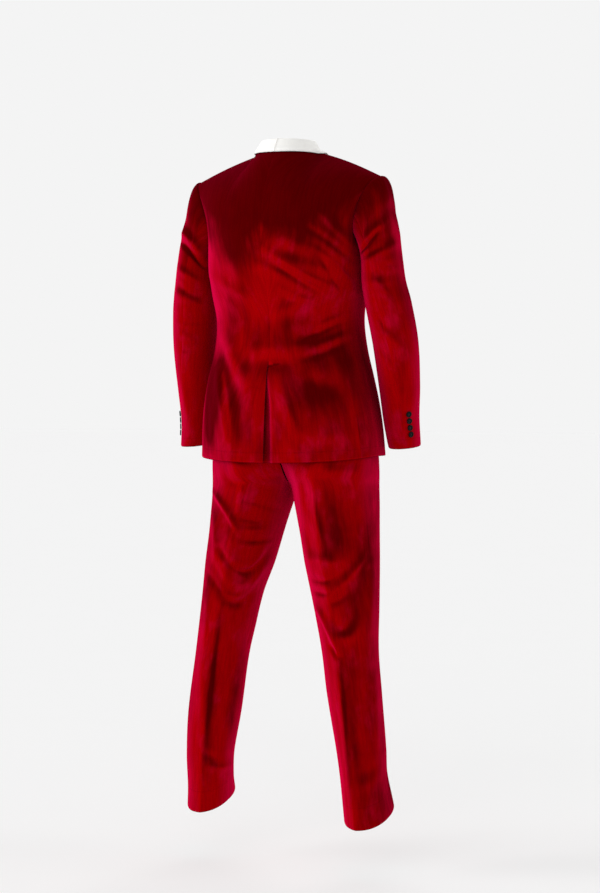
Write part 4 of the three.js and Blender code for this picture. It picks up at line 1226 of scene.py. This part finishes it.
def button_thread():
    g = Graph("Button thread")
    twist = g.noise(g.place(), 2500)
    return g.finish(Base_Color=g.mix(twist, (0.008, 0.007, 0.007), (0.03, 0.026, 0.026)), Roughness=0.9)


polished, thread = button_black(), button_thread()


def turn_up(way):
    """The turn that brings a button's upward face to look along a way."""
    return Vector((0, 0, 1)).rotation_difference(Vector(way)).to_matrix()


def sew_button(title, node, surface, u, v, core, radius):
    """A button on a panel, its back on the cloth and its face looking out."""
    place, _, _, out = [part[0] for part in on_cloth(surface, np.array([u]), np.array([v]), core)]
    shape = bmesh.new()

    def disc(r, depth, height, x=0.0, y=0.0, segments=40):
        made = bmesh.ops.create_cone(
            shape, cap_ends=True, segments=segments, radius1=r, radius2=r, depth=depth
        )["verts"]
        bmesh.ops.translate(shape, verts=made, vec=(x, y, height))
        return made

    def make_thread(verts):
        for v in verts:
            for f in v.link_faces:
                f.material_index = 1

    disc(radius, BUTTON_DEPTH, BUTTON_DEPTH / 2)
    rims = [e for e in shape.edges if abs(e.verts[0].co.z - e.verts[1].co.z) < 1e-4]
    bmesh.ops.bevel(shape, geom=rims, offset=RIM_ROUND, segments=3, profile=0.5, affect="EDGES")
    face = max(shape.faces, key=lambda f: f.calc_center_median().z)
    bmesh.ops.inset_region(shape, faces=[face], thickness=radius * 0.22)
    bmesh.ops.inset_region(shape, faces=[face], thickness=radius * 0.1, depth=-BUTTON_DISH)
    for f in shape.faces:
        f.smooth = len(f.verts) < 20
    apart = radius * 0.17
    dished = BUTTON_DEPTH - BUTTON_DISH
    for x in (-apart, apart):
        for y in (-apart, apart):
            make_thread(disc(0.11 * radius, 0.1, dished + 0.02, x, y, 12))
        bar = disc(0.07 * radius, 2 * apart, 0, segments=10)
        bmesh.ops.rotate(shape, verts=bar, matrix=turn_up((0, 1, 0)))
        bmesh.ops.translate(shape, verts=bar, vec=(x, 0, dished + 0.15))
        make_thread(bar)
    bmesh.ops.rotate(shape, verts=shape.verts, matrix=turn_up(out))
    bmesh.ops.translate(shape, verts=shape.verts, vec=Vector(place) + BUTTON_CLEAR * Vector(out))
    bmesh.ops.scale(shape, verts=shape.verts, vec=(0.001, 0.001, 0.001))
    piece = add_piece(title, shape, [polished, thread])
    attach(piece, "root")
    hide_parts(node)


for word, side in (("left", 1), ("right", -1)):
    sleeve_top = sleeve_surface(word, side, lambda z: front_seam(z) - 360, elbow)
    for k in range(SLEEVE_BUTTONS):
        drop = LOWEST_BUTTON + BUTTON_PITCH * (SLEEVE_BUTTONS - 1 - k)
        at = 1 - (1 - HEAD_SHARE) * drop / (HEAD_FOOT - CUFF)
        ending = "_button_%s_%d" % (word, k + 1)
        core = np.array([side * 262, -60, -630])
        sew_button(
            "Cuff" + ending, "sleeve" + ending, sleeve_top, SLEEVE_COLUMN, at, core, SLEEVE_BUTTON_RADIUS
        )

sew_button(
    "Front_waist_button", "front_button", front_surface(1), WAIST_COLUMN, front_row(BUTTON_HEIGHT - 12),
    JACKET_CORE, WAIST_BUTTON_RADIUS,
)
